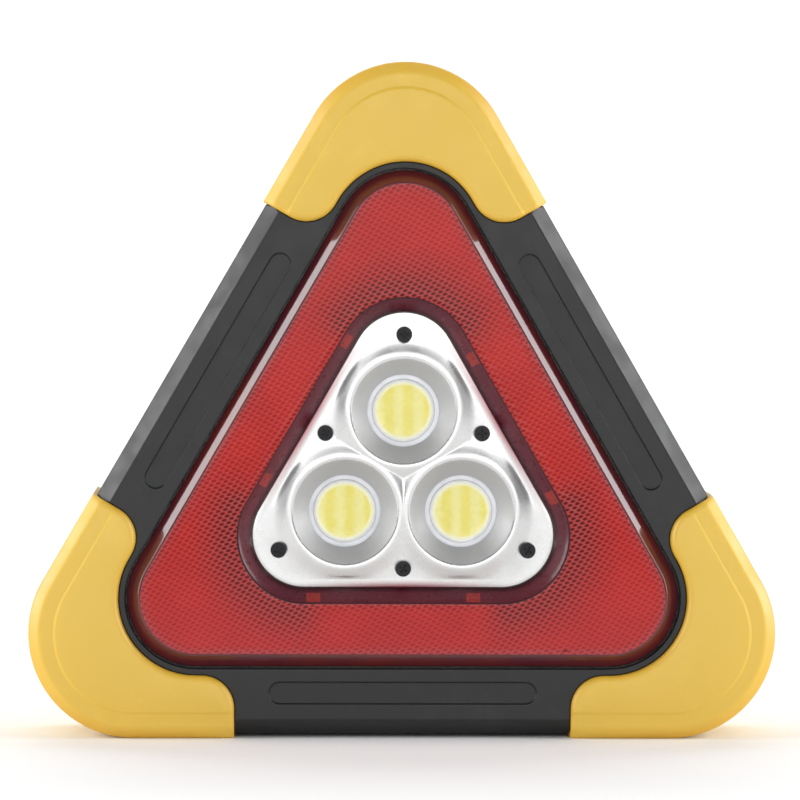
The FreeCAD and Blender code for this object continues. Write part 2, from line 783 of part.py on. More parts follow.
def make_warning_lens():
    """The red lens: a bevelled ring plate with an outer skirt that stands on the LED board and a
    sloping well wall that ends in a ledge for the lamp panel and a skirt down to the heat sink."""
    body = new_body("warning_lens")
    bevel_back = "lens_front + lens_bevel_depth"
    face = triangle("lens_side - lens_bevel_width", "lens_corner - lens_bevel_width")
    slab(body, face, "lens_front", bevel_back, "atan(lens_bevel_width / lens_bevel_depth)")
    slab(body, triangle("lens_side", "lens_corner"), bevel_back, "led_board_front - fit_gap")
    slab(body, triangle("lens_side + flange_width", "lens_corner + flange_width"), "flange_front",
         "flange_back")
    plate_back = "lens_front + lens_plate"
    shoulder = "lens_bevel_width + skirt_wall"
    hollow = triangle(f"lens_side - ({shoulder})", f"lens_corner - ({shoulder})")
    cut(body, hollow, plate_back, f"{plate_back} + lens_bevel_depth",
        "atan(lens_bevel_width / lens_bevel_depth)")
    cut(body, triangle("lens_side - skirt_wall", "lens_corner - skirt_wall"),
        f"{plate_back} + lens_bevel_depth", "led_board_front")
    slope = "atan(well_slope / (panel_front - lens_front))"
    well_outside = triangle("well_side + skirt_wall", "well_corner + skirt_wall")
    well_foot = "panel_front + skirt_wall"
    slab(body, well_outside, "lens_front + skirt_wall / 2", well_foot, f"-{slope}")
    foot_side = ("(well_side + skirt_wall - well_slope * (panel_front + skirt_wall / 2 - lens_front)"
                 " / (panel_front - lens_front))")
    foot_corner = foot_side.replace("well_side", "well_corner")
    slab(body, triangle(foot_side, foot_corner), well_foot, "plate_front - fit_gap / 2")
    cut(body, triangle("well_side", "well_corner"), "lens_front", "panel_front", f"-{slope}")
    cut(body, triangle("panel_side + fit_gap", "panel_corner + fit_gap"), "panel_front", "panel_back")
    cut(body, triangle("panel_side - ledge_width", "panel_corner - ledge_width"), "panel_back",
        "ledge_back")
    cut(body, triangle("panel_side + fit_gap", "panel_corner + fit_gap"), "ledge_back", "plate_front")


def panel_screw_spots():
    return ("0", "outer_screw_ring"), spot("inner_screw_ring", "0")


def make_lamp_reflector():
    body = new_body("lamp_reflector")
    slab(body, triangle("panel_side", "panel_corner"), "panel_front", "panel_back")
    rim_rise = "panel_front - rim_front"
    flare = slab(body, circle("0", "lamp_ring", "rim_radius"), "rim_front", "panel_front",
                 f"atan((flare_radius - rim_radius) / ({rim_rise}))")
    throat_outside = "throat_radius + throat_wall"
    cup = slab(body, circle("0", "lamp_ring", "rim_radius"), "panel_front", "throat_front",
               f"-atan((rim_radius - {throat_outside}) / (throat_front - panel_front) * cup_lean)")
    neck = slab(body, circle("0", "lamp_ring", throat_outside), "panel_back", "throat_back")
    bosses = [slab(body, circle(*at, "panel_boss"), "panel_front + panel_boss_root",
                   "plate_front - fit_gap / 2") for at in panel_screw_spots()]
    on_each_side(body, flare, cup, neck, *bosses)
    sketch = new_sketch(body, "YZ_Plane", "0")
    middle = "lamp_ring"
    front = "rim_front - dish_overrun - overall_depth / 2"
    back = "throat_back + dish_overrun - overall_depth / 2"
    rim, throat = "rim_front - overall_depth / 2", "throat_front - overall_depth / 2"
    outline(
        (front, middle),
        (back, middle),
        (back, f"{middle} + throat_radius"),
        (throat, f"{middle} + throat_radius", "dish_curve"),
        (rim, f"{middle} + dish_radius"),
        (front, f"{middle} + dish_radius"),
    )(sketch)
    axis_start = Vector(number(front) - 1, number(middle), 0)
    axis_end = Vector(number(back) + 1, number(middle), 0)
    axis = sketch.addGeometry(Part.LineSegment(axis_start, axis_end), True)
    place(sketch, axis, 1, f"{front} - 1", middle)
    place(sketch, axis, 2, f"{back} + 1", middle)
    dish = body.newObject("PartDesign::Groove", "Dish")
    dish.Profile = sketch
    dish.ReferenceAxis = (sketch, ["Axis0"])
    dish.Angle = 360
    body.Tip = dish
    doc.recompute()
    head_seats = cut(body, together(*[circle(*at, "panel_screw_head + fit_gap")
                                      for at in panel_screw_spots()]), "rim_front", "panel_front")
    screw_holes = cut(body, together(*[circle(*at, "small_clear") for at in panel_screw_spots()]),
                      "panel_front", "plate_front")
    on_each_side(body, dish, head_seats, screw_holes)


def make_reflector_screws():
    body = new_body("reflector_screws")
    spots = panel_screw_spots()
    head_front = "panel_front - panel_screw_proud"
    heads = slab(body, together(*[circle(*at, "panel_screw_head") for at in spots]), head_front,
                 "panel_front")
    shanks = slab(body, together(*[circle(*at, "panel_screw_core") for at in spots]), "panel_front",
                  "panel_screw_tip")
    cross = [cut(body, together(*[rectangle(*at, *size) for at in spots]), head_front,
                 "panel_front - panel_cross_floor") for size in cross_slots("cross_span")]
    on_each_side(body, heads, shanks, *cross)


def make_lamp(place_name, turn):
    """One lamp: a white board, a dam ring on it and the phosphor that fills the ring."""
    board = new_body(f"lamp_board_{place_name}", turn)
    slab(board, circle("0", "lamp_ring", "lamp_board_radius"), "lamp_board_front", "plate_front")
    dam = new_body(f"lamp_dam_{place_name}", turn)
    dam_ring = together(circle("0", "lamp_ring", "dam_radius"),
                        circle("0", "lamp_ring", "phosphor_radius"))
    slab(dam, dam_ring, "dam_front", "lamp_board_front")
    phosphor = new_body(f"lamp_phosphor_{place_name}", turn)
    slab(phosphor, circle("0", "lamp_ring", "phosphor_radius"), "phosphor_front", "lamp_board_front")


def make_heat_sink_plate():
    body = new_body("heat_sink_plate")
    slab(body, triangle("plate_side", "plate_corner"), "plate_front", "plate_back")
    holes = [circle(*at, "panel_screw_core + pilot_slack") for at in panel_screw_spots()]
    on_each_side(body, cut(body, together(*holes), "plate_front", "plate_back"))


def make_red_led_board():
    body = new_body("red_led_board")
    slab(body, together(triangle("led_board_side", "led_board_corner"),
                        triangle("led_board_hole", "led_board_hole_corner")),
         "led_board_front", "led_board_back")
    neck = "2 * led_board_side - led_board_corner - ear_root"
    tab = slab(body, rectangle("0", f"({neck} + ear_ring) / 2", "2 * ear_radius",
                               f"ear_ring - ({neck})"), "led_board_front", "led_board_back")
    ear = slab(body, circle("0", "ear_ring", "ear_radius"), "led_board_front", "led_board_back")
    hole = cut(body, circle("0", "ear_ring", "small_clear"), "led_board_front", "led_board_back")
    on_each_side(body, tab, ear, hole)


def make_red_leds():
    body = new_body("red_leds")
    row = [rectangle(f"{step} * led_pitch", "-led_side", "led_length", "led_width")
           for step in ("-2.5", "-1.5", "-0.5", "0.5", "1.5", "2.5")]
    leds = slab(body, together(*row), "led_board_front - led_rise", "led_board_front")
    on_each_side(body, leds)


def make_led_board_screws():
    body = new_body("led_board_screws")
    head_back = "led_board_back + small_head_height"
    head = slab(body, circle("0", "ear_ring", "small_head"), "led_board_back", head_back)
    shank = slab(body, circle("0", "ear_ring", "small_core"), "case_front + 3 * face_wall",
                 "led_board_back")
    on_each_side(body, head, shank, *cross_recess(body, ("0", "ear_ring"), head_back))


def cross_slots(span):
    """The widths and heights of the two slots that make a cross recess."""
    return (span, "cross_slot"), ("cross_slot", span)


def cross_recess(body, at, head_back, span="cross_span", drop="cross_depth"):
    return [cut(body, rectangle(*at, *size), f"{head_back} - {drop}", head_back)
            for size in cross_slots(span)]


def make_corner_screws():
    """Countersunk screws from the rear that hold the bumpers and close the casing at the corners."""
    body = new_body("corner_screws")
    at = ("0", "corner_screw_ring")
    head_front = "overall_depth - bumper_wall + countersink_land"
    core = "pilot_radius - pilot_slack"
    head = slab(body, circle(*at, core), head_front, "overall_depth",
                f"atan((corner_screw_head - pilot_radius) / (overall_depth - ({head_front})))")
    shank = slab(body, circle(*at, core), "case_screw_tip", head_front)
    cross = cross_recess(body, at, "overall_depth", "case_cross_span", "case_cross_depth")
    on_each_side(body, head, shank, *cross)


def make_case_screws():
    body = new_body("case_screws")
    at = side_screw_spot()
    head_back = "case_screw_seat + case_screw_head_height"
    head = slab(body, circle(*at, "case_screw_head"), "case_screw_seat", head_back)
    shank = slab(body, circle(*at, "pilot_radius - pilot_slack"), "case_screw_tip", "case_screw_seat")
    cross = cross_recess(body, at, head_back, "case_cross_span", "case_cross_depth")
    on_each_side(body, head, shank, *cross)


# Battery

def make_battery_cell(place_name, sign):
    body = new_body(f"battery_cell_{place_name}")
    x, y = f"{sign} * cell_spread", "cell_depth - overall_depth / 2"
    can_top = "cell_length - cell_low - cell_cap_rise"
    column(body, circle(x, y, "cell_radius"), "-cell_low", can_top)
    round_edges(body, "Fillet", "cell_edge", lambda edge: edge.BoundBox.ZLength < 0.001)
    column(body, circle(x, y, "cell_cap_radius"), f"{can_top} - cell_cap_root", "cell_length - cell_low")


def make_battery_holder():
    body = new_body("battery_holder")
    inside_width = "2 * (cell_spread + cell_radius + cell_gap)"
    width = f"{inside_width} + 2 * holder_wall"
    inside_height = "cell_length + 2 * contact_room"
    height = f"{inside_height} + 2 * holder_wall"
    slab(body, rectangle("0", HOLDER_MIDDLE, width, height), "holder_floor", "holder_back")
    walls = together(rectangle("0", HOLDER_MIDDLE, width, height),
                     rectangle("0", HOLDER_MIDDLE, inside_width, inside_height))
    slab(body, walls, "holder_front", "holder_floor")
    for sign in ("-1", "1"):
        wall_at = f"{HOLDER_MIDDLE} + {sign} * ({inside_height} + holder_wall) / 2"
        slab(body, rectangle("0", wall_at, width, "holder_wall"), "holder_end_front", "holder_front")
        ear_inside = f"({inside_width}) / 2 + holder_wall / 2"
        ear_length = f"holder_ear_reach + holder_ear_end - ({ear_inside})"
        ear_at = f"{sign} * (holder_ear_reach + holder_ear_end + {ear_inside}) / 2"
        slab(body, rectangle(ear_at, HOLDER_MIDDLE, ear_length, "holder_ear_width"),
             "holder_ear_front", "holder_ear_back")
        cut(body, circle(f"{sign} * holder_ear_reach", HOLDER_MIDDLE, "small_clear"),
            "holder_ear_front", "holder_ear_back")


def make_battery_contacts():
    """Nickel plates: one at each cell's foot, and one that joins the two cells at the top."""
    body = new_body("battery_contacts")
    y = "cell_depth - overall_depth / 2"
    low = "-cell_low - contact_room"
    feet = together(*[rectangle(f"{sign} * cell_spread", y, "contact_size", "contact_size")
                      for sign in ("-1", "1")])
    column(body, feet, low, f"{low} + contact_thickness")
    top = "cell_length - cell_low + contact_room"
    strap = rectangle("0", y, "2 * cell_spread + contact_size", "contact_size")
    column(body, strap, f"{top} - contact_thickness", top)


def screws_from_front(label, reach, y, seat, tip):
    """Two small pan head screws on either side of the middle, with their heads to the front."""
    body = new_body(label)
    spots = [(f"{sign} * {reach}", y) for sign in ("-1", "1")]
    head_front = f"{seat} - small_head_height"
    slab(body, together(*[circle(*at, "small_head") for at in spots]), head_front, seat)
    slab(body, together(*[circle(*at, "small_core") for at in spots]), seat, tip)
    for size in cross_slots("cross_span"):
        cut(body, together(*[rectangle(*at, *size) for at in spots]), head_front,
            f"{head_front} + cross_depth")


# Controls

# Parts on the front of the main board: place along it, width, height (or radius) and rise
BOARD_BLOCKS = [("-6", "6", "5", "1.5"), ("24", "5", "4", "1.5"), ("8", "7", "7", "3.5")]
BOARD_CANS = [("-15", "2.5", "4.5"), ("16.5", "2.5", "4.5")]


def make_main_board():
    body = new_body("main_board")
    slab(body, rectangle("0", "-control_drop", "board_length", "board_height"), "board_front",
         "board_back")
    holes = [circle(f"{sign} * board_screw_reach", "-control_drop", "small_clear")
             for sign in ("-1", "1")]
    cut(body, together(*holes), "board_front", "board_back")


def make_board_components():
    """The larger components on the front of the main board: two chips, a coil and two capacitors."""
    body = new_body("board_components")
    for place_x, width, height, rise in BOARD_BLOCKS:
        block = rectangle(place_x, "-control_drop", width, height)
        slab(body, block, f"board_front - {rise}", "board_front")
    for place_x, radius, rise in BOARD_CANS:
        slab(body, circle(place_x, "-control_drop", radius), f"board_front - {rise}", "board_front")


def make_power_switch():
    body = new_body("power_switch")
    slab(body, rectangle("-button_shift", "-control_drop", "switch_size", "switch_size"), "board_back",
         "switch_back")
    cut(body, circle("-button_shift", "-control_drop", "plunger_radius + fit_gap"), "switch_hole",
        "switch_back")
    plunger = new_body("switch_plunger")
    slab(plunger, circle("-button_shift", "-control_drop", "plunger_radius"), "plunger_front",
         "plunger_back")


def make_power_button():
    body = new_body("power_button")
    at = ("-button_shift", "-control_drop")
    slab(body, circle(*at, "button_radius"), "button_front", "button_back")
    slab(body, circle(*at, "button_flange"), "button_front", "button_flange_back")
    slab(body, circle(*at, "button_stem"), "plunger_back", "button_front")
    round_edges(body, "Fillet", "button_edge", lambda edge: at_depth(edge, "button_back"))


def make_socket(label, shift, width, height, tongue_share):
    """A metal socket shell on the main board, open to the rear, with a contact tongue inside."""
    body = new_body(label)
    at = (shift, "-control_drop")
    slab(body, rectangle(*at, width, height), "board_back", "socket_back")
    cut(body, rectangle(*at, f"{width} - 2 * socket_shell", f"{height} - 2 * socket_shell"),
        "board_back + socket_base", "socket_back")
    tongue = rectangle(shift, f"{height} * tongue_shift - control_drop", f"{width} * tongue_width",
                       f"{height} * {tongue_share}")
    slab(body, tongue, "board_back + tongue_front", "socket_back - tongue_recess")


def make_usb_port_cover():
    """The rubber cover of the sockets: a flap that swings, and the anchor that holds it."""
    flap = new_body("usb_port_cover")
    slab(flap, rectangle(USB_MIDDLE, "-control_drop", "cover_right - cover_left", "cover_height"),
         "cover_front", "cover_back")
    free_end = number("cover_right") - 0.1
    round_edges(flap, "Fillet", "cover_corner",
                lambda edge: edge.BoundBox.XMin > free_end and edge.BoundBox.YLength > 1)
    anchor = new_body("usb_cover_anchor")
    slab(anchor, rectangle("(anchor_left + anchor_right) / 2", "-control_drop",
                           "anchor_right - anchor_left", "anchor_height"), "cover_front", "cover_back")
    slab(anchor, circle("(anchor_left + anchor_right) / 2", "-control_drop", "anchor_peg"), "cover_floor",
         "cover_front")
    web_end = "cover_left - fit_gap / 2"
    web = rectangle(f"(anchor_right + {web_end}) / 2", "-control_drop", f"{web_end} - anchor_right",
                    "anchor_height")
    slab(anchor, web, "cover_back - anchor_web", "cover_back")


def make_charge_lights():
    leds = new_body("charge_leds")
    row = [rectangle(x, "-control_drop", "charge_led_length", "charge_led_width") for x in LIGHTS]
    slab(leds, together(*row), "board_back", "board_back + charge_led_rise")
    pipe = new_body("charge_light_pipe")
    bar = rectangle("-light_shift", "-control_drop", "3 * light_pitch + 2 * light_bar_end",
                    "light_bar_height")
    bar_front = "light_front + light_bar_front"
    slab(pipe, bar, bar_front, f"{bar_front} + light_bar_thickness")
    for x in LIGHTS:
        slab(pipe, circle(x, "-control_drop", "light_radius"), "light_front", "case_rear")


def make_stand():
    """The bail. Its arms end in round eyes with stub pivots that snap into the rear cover's groove."""
    body = new_body("stand")
    front, back = "pivot_depth - stand_thickness / 2", "pivot_depth + stand_thickness / 2"
    slab(body, stand_path("0", "pivot_rise + stand_thickness / 2"), front, back)
    top = number("pivot_rise + stand_thickness / 2")
    round_edges(body, "Fillet", "stand_thickness / 2 - eye_slack",
                lambda edge: edge.BoundBox.ZMin > top - 0.01 and edge.BoundBox.XLength > 5)
    foot_low = number("-stand_foot_drop - stand_width / 2")
    round_edges(body, "Fillet", "stand_width * foot_bend_share",
                lambda edge: edge.BoundBox.ZMax < foot_low + 0.01 and edge.BoundBox.YLength > 4
                and edge.BoundBox.XLength < 0.01)
    for sign in (-1, 1):
        inner = f"{sign} * stand_half_top"
        outer = f"{sign} * (stand_half_top + stand_width / 2 + pivot_length)"
        left, right = (inner, outer) if sign > 0 else (outer, inner)
        crossbar(body, pivot_circle("pivot_radius"), left, right)


# Wires inside the casing

def make_leads(label, shift):
    """One colour of the wires: each route is a list of x, depth and height above the triangle's centre,
    from a lamp board, the LED board or the battery to the main board."""
    plate, led_board, board = number("plate_back"), number("led_board_back"), number("board_front")
    holder_low = number("-cell_low - contact_room - holder_wall")
    from_lamps, from_leds = (plate + board) / 2, (led_board + board) / 2
    routes = (
        [(-24, plate, -23), (-24, from_lamps, -23), (-24, from_lamps, -35), (-24, board, -35)],
        [(-30, led_board, -48), (-30, from_leds, -48), (-30, from_leds, -39), (-30, board, -39)],
        [(3.2, 27, holder_low), (3.2, 27, -35), (3.2, number("board_back"), -35)],
    )
    wires = []
    for route in routes:
        spots = [Vector(x + shift, y - number("overall_depth / 2"), z) for x, y, z in route]
        wires.append(wire_tube(spots, number("wire_radius")))
    feature = doc.addObject("Part::Feature", label)
    feature.Label = label
    feature.Shape = Part.makeCompound(wires)
    feature.Placement = Placement(Vector(0, 0, number("bumper_side")), Rotation())
    parts.append(feature)


def wire_tube(spots, radius):
    """A round tube along straight runs joined by tangent arcs."""
    edges = []
    here = spots[0]
    for before, corner, after in zip(spots, spots[1:], spots[2:]):
        back, ahead = before - corner, after - corner
        turn = math.pi - back.getAngle(ahead)
        reach = 0.45 * min(back.Length, ahead.Length)
        arc_start = corner + back.normalize() * reach
        arc_end = corner + ahead.normalize() * reach
        middle = (back + ahead).normalize()
        arc_radius = reach / math.tan(turn / 2)
        top = corner + middle * (math.hypot(reach, arc_radius) - arc_radius)
        edges.append(Part.LineSegment(here, arc_start).toShape())
        edges.append(Part.Arc(arc_start, top, arc_end).toShape())
        here = arc_end
    edges.append(Part.LineSegment(here, spots[-1]).toShape())
    path = Part.Wire(edges)
    section = Part.Wire(Part.makeCircle(radius, spots[0], spots[1] - spots[0]))
    tube = path.makePipeShell([section], True, True)
    length = sum(edge.Length for edge in edges)
    if abs(tube.Volume - math.pi * radius ** 2 * length) > 0.02 * tube.Volume:
        raise RuntimeError("a wire's volume doesn't fit its length")
    return tube


def make_parts():
    make_front_bezel()
    make_rear_cover()
    for place_name, turn in (("top", 0), ("right", 120), ("left", 240)):
        make_corner_bumper(place_name, turn)
        make_lamp(place_name, turn)
    make_warning_lens()
    make_lamp_reflector()
    make_reflector_screws()
    make_heat_sink_plate()
    make_red_led_board()
    make_red_leds()
    make_led_board_screws()
    make_corner_screws()
    make_case_screws()
    make_battery_cell("left", "-1")
    make_battery_cell("right", "1")
    make_battery_holder()
    make_battery_contacts()
    screws_from_front("battery_holder_screws", "holder_ear_reach", HOLDER_MIDDLE, "holder_ear_front",
                      "holder_ear_back + holder_screw_bite")
    make_main_board()
    make_board_components()
    screws_from_front("main_board_screws", "board_screw_reach", "-control_drop", "board_front",
                      "board_back + board_screw_bite")
    make_power_switch()
    make_power_button()
    make_socket("usb_a_socket", "usb_shift", "usb_width", "usb_height", "usb_tongue")
    make_socket("micro_usb_socket", "micro_shift", "micro_width", "micro_height", "micro_tongue")
    make_usb_port_cover()
    make_charge_lights()
    make_stand()
    make_leads("leads_red", 0)
    make_leads("leads_black", 1.8)


def check_document():
    for item in doc.Objects:
        if "Invalid" in item.State or "Error" in item.State:
            raise RuntimeError(f"{item.Label} failed: {item.State}")
    for part in parts:
        if part.Shape.isNull() or not part.Shape.isValid():
            raise RuntimeError(f"{part.Label} has no valid shape")


def write_parts():
    os.makedirs("parts", exist_ok=True)
    for part in parts:
        part.Shape.exportStep(f"parts/{part.Label}.step")


make_parts()
doc.recompute()
check_document()
write_parts()
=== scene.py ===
import math

import bmesh
import bpy
from mathutils import Matrix, Vector


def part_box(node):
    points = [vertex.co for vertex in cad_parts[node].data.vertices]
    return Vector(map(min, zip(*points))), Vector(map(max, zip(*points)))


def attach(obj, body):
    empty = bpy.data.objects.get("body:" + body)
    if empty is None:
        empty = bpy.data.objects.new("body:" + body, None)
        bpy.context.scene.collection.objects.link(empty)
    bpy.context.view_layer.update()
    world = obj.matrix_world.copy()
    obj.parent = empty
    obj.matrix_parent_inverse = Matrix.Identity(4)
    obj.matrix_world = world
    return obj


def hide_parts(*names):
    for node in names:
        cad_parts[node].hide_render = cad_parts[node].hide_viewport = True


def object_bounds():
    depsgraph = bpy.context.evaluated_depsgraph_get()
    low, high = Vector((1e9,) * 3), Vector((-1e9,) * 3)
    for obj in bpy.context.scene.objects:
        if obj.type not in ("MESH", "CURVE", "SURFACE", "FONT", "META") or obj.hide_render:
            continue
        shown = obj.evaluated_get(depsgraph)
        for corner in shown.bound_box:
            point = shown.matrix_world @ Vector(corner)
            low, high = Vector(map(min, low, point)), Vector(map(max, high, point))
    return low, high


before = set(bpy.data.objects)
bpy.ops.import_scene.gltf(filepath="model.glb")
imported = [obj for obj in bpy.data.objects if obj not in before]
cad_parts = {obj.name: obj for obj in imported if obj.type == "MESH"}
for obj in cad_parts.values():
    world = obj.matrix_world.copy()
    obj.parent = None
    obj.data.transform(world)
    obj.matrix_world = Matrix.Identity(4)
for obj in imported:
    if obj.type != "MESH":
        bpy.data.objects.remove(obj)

# A triangular warning and work light, seen from the front: black casing, yellow corner bumpers, a red
# prismatic ring lens and a silver panel with three lamps. Sizes are in millimetres. Outlines are drawn
# about the triangle's centre, x to the right and z up, and depths are counted back from the foremost face.

MM = 0.001
bpy.context.view_layer.update()
cad_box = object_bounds()
FRONT = cad_box[0].y
LAMPS = {name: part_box(f"lamp_board_{name}") for name in ("top", "left", "right")}
CENTRE = sum(low.z + high.z for low, high in LAMPS.values()) / 6
# The directions of the triangle's corners and sides from its centre, in degrees
CORNER_TURNS = (90, 210, 330)
SIDE_TURNS = (30, 150, 270)
# How far each bumper is turned from the top one
BUMPER_TURNS = {"top": 0, "right": -120, "left": -240}

# Outlines shared with the frame: the side is the distance from the centre, the corner is a radius
BUMPER_SIDE, BUMPER_CORNER = 69.5, 28.0
# Where a bumper ends along a side, the arc of that end, and its gap to the lens
BUMPER_END, BUMPER_END_ARC = 45.0, 8.8
BUMPER_OFFSET = 2.3
BUMPER_WALL = 1.8
OVERALL_DEPTH = (cad_box[1].y - cad_box[0].y) / MM
LENS_SIDE, LENS_CORNER, LENS_FRONT, LENS_BACK = 50.3, 18.4, 0.6, 6.2
FACE_SIDE, FACE_CORNER = 47.0, 15.1
BEVEL_DEPTH = 3.0
WELL_SIDE, WELL_CORNER, WELL_SLOPE = 33.0, 17.8, 3.9
PANEL_SIDE, PANEL_CORNER, PANEL_FRONT, PANEL_BACK = 29.2, 14.0, 5.5, 7.0
# The distances of the lamps and the corner screws from the centre
LAMP_RING = 18.0
CORNER_SCREW_RING = 99.0
# The lens's prisms: their pitch along a row, the rows' spacing and slant, and the depth of a pit
PRISM_PITCH, PRISM_ROW, PRISM_SLANT, PRISM_DEPTH = 2.0, 0.9, 15, 0.16


# Outlines and meshes

def at(point, depth):
    """The place in the frame of a point of an outline at some depth."""
    return Vector((point[0] * MM, FRONT + depth * MM, CENTRE + point[1] * MM))


def limited(value):
    """The value, or the nearer limit where it isn't between 0 and 1."""
    return max(0.0, min(1.0, value))


def polar(radius, angle):
    """A point by its distance and direction, in degrees, from the centre."""
    return Vector((radius * math.cos(math.radians(angle)), radius * math.sin(math.radians(angle))))


def arc(middle, radius, start, end, steps):
    return [middle + polar(radius, start + (end - start) * step / steps) for step in range(steps + 1)]


def circle(middle, radius, corners):
    """The corners of a round outline, once each."""
    return arc(middle, radius, 0, 360 - 360 / corners, corners - 1)


def spot(across, along):
    """A point by its distance from the centre towards the right side, and along that side upwards."""
    return polar(across, 30) + polar(along, 120)


def mirrored(points):
    """The points mirrored about the upright middle line, in the opposite order."""
    return [Vector((-point[0], point[1])) for point in reversed(points)]


def triangle(side, corner, arc_steps=28, side_steps=12):
    """A triangle with round corners, anticlockwise from the start of its top corner's arc."""
    arcs = [arc(polar(2 * (side - corner), turn), corner, turn - 60, turn + 60, arc_steps)
            for turn in CORNER_TURNS]
    points = []
    for corner_points, following in zip(arcs, arcs[1:] + arcs[:1]):
        points += corner_points
        start, end = corner_points[-1], following[0]
        points += [start.lerp(end, step / side_steps) for step in range(1, side_steps)]
    return points


def loop(mesh, points, depth):
    """New corners along an outline; the depth is one number or one for each point."""
    depths = depth if isinstance(depth, list) else [depth] * len(points)
    return [mesh.verts.new(at(point, level)) for point, level in zip(points, depths)]


def strip(mesh, first, second, closed=True, material=0):
    """Faces between two loops of corners."""
    faces = []
    count = len(first)
    for here in range(count if closed else count - 1):
        there = (here + 1) % count
        corners = [first[here], first[there], second[there], second[here]]
        corners = [corner for place, corner in enumerate(corners) if corner not in corners[:place]]
        if len(corners) > 2:
            faces.append(mesh.faces.new(corners))
            faces[-1].material_index = material
    return faces


def fill(mesh, *loops, material=0):
    """A flat face inside the first loop and outside the others."""
    edges = []
    for corners in loops:
        for here, there in zip(corners, corners[1:] + corners[:1]):
            edges.append(mesh.edges.get((here, there)) or mesh.edges.new((here, there)))
    result = bmesh.ops.triangle_fill(mesh, use_beauty=True, use_dissolve=False, edges=edges)
    for face in result["geom"]:
        if isinstance(face, bmesh.types.BMFace):
            face.material_index = material


def piece(name, mesh, materials, replaced, body="casing", sharp=32):
    """Turns a mesh into a shown piece that rides on a body and stands for some CAD nodes."""
    bmesh.ops.remove_doubles(mesh, verts=mesh.verts, dist=1e-7)
    bmesh.ops.recalc_face_normals(mesh, faces=mesh.faces)
    data = bpy.data.meshes.new(name)
    mesh.to_mesh(data)
    mesh.free()
    for material in materials:
        data.materials.append(material)
    data.shade_smooth()
    data.set_sharp_from_angle(angle=math.radians(sharp))
    item = bpy.data.objects.new(name, data)
    bpy.context.scene.collection.objects.link(item)
    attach(item, body)
    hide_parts(*replaced)


# Materials

# The spacing of the pale and darker upright bands painted on the lamps' gel as reflections of the tall side
# softboxes, in metres
REFLECTION_BAND_PITCH = 5.2 * MM


class Shader:
    """A material with one Principled shader, and short ways to add nodes to it."""

    def __init__(self, name, colour, roughness, **values):
        self.material = bpy.data.materials.new(name)
        self.material.use_nodes = True
        self.nodes = self.material.node_tree.nodes
        self.surface = self.nodes["Principled BSDF"]
        self.surface.inputs["Base Color"].default_value = (*colour, 1)
        self.surface.inputs["Roughness"].default_value = roughness
        for socket, value in values.items():
            self.surface.inputs[socket.replace("_", " ")].default_value = value
        self.place = self.nodes.new("ShaderNodeTexCoord").outputs["Object"]

    def link(self, source, target):
        self.material.node_tree.links.new(source, target)

    def feed(self, value, socket):
        if hasattr(value, "is_output"):
            self.link(value, socket)
        else:
            socket.default_value = value

    def math(self, operation, first, second=0.0):
        node = self.nodes.new("ShaderNodeMath")
        node.operation = operation
        for value, socket in zip((first, second), node.inputs):
            self.feed(value, socket)
        return node.outputs[0]

    def noise(self, scale, detail=2.0, roughness=0.5, stretch=(1, 1, 1)):
        mapping = self.nodes.new("ShaderNodeMapping")
        mapping.inputs["Scale"].default_value = stretch
        self.link(self.place, mapping.inputs["Vector"])
        node = self.nodes.new("ShaderNodeTexNoise")
        node.inputs["Scale"].default_value = scale
        node.inputs["Detail"].default_value = detail
        node.inputs["Roughness"].default_value = roughness
        self.link(mapping.outputs[0], node.inputs["Vector"])
        return node.outputs["Fac"]

    def span(self, value, low, high, to_low=0.0, to_high=1.0):
        node = self.nodes.new("ShaderNodeMapRange")
        node.interpolation_type = "SMOOTHSTEP"
        self.feed(value, node.inputs["Value"])
        limits = {"From Min": low, "From Max": high, "To Min": to_low, "To Max": to_high}
        for name, number in limits.items():
            node.inputs[name].default_value = number
        return node.outputs["Result"]

    def mix(self, factor, first, second):
        node = self.nodes.new("ShaderNodeMix")
        node.data_type = "RGBA"
        self.feed(factor, node.inputs["Factor"])
        for value, socket in ((first, node.inputs["A"]), (second, node.inputs["B"])):
            self.feed(value if hasattr(value, "is_output") else (*value, 1), socket)
        return node.outputs["Result"]

    def attribute(self, name):
        node = self.nodes.new("ShaderNodeAttribute")
        node.attribute_name = name
        return node.outputs["Fac"]

    def colour(self, value):
        self.link(value, self.surface.inputs["Base Color"])

    def roughness(self, value):
        self.link(value, self.surface.inputs["Roughness"])

    def bump(self, height, distance, strength=1.0, under=None):
        node = self.nodes.new("ShaderNodeBump")
        node.inputs["Strength"].default_value = strength
        node.inputs["Distance"].default_value = distance
        self.link(height, node.inputs["Height"])
        if under is not None:
            self.link(under, node.inputs["Normal"])
        self.link(node.outputs[0], self.surface.inputs["Normal"])
        return node.outputs[0]


def moulded_plastic(name, colour, roughness, grain=0.00002, wear=1.25, **values):
    """Plastic with a fine spark-eroded grain, a little shine that varies, and faint paler rubbing. Painted
    shade makes its colour deeper where a mesh has a rim."""
    shader = Shader(name, colour, roughness, **values)
    rubbed = shader.span(shader.noise(60, 6, 0.7), 0.52, 0.78)
    worn = tuple(min(1.0, part * wear + 0.004) for part in colour)
    # Painted shade: the deeper, more saturated colour used where a mesh has a rim
    deep = (colour[0] * 0.97, colour[1] * 0.86, colour[2] * 0.6)
    shader.colour(shader.mix(shader.attribute("rim"), shader.mix(rubbed, colour, worn), deep))
    shader.roughness(shader.span(shader.noise(140, 4), 0.3, 0.7, roughness - 0.05, roughness + 0.07))
    shader.bump(shader.noise(2400, 2, 0.6), grain, 0.6)
    return shader.material


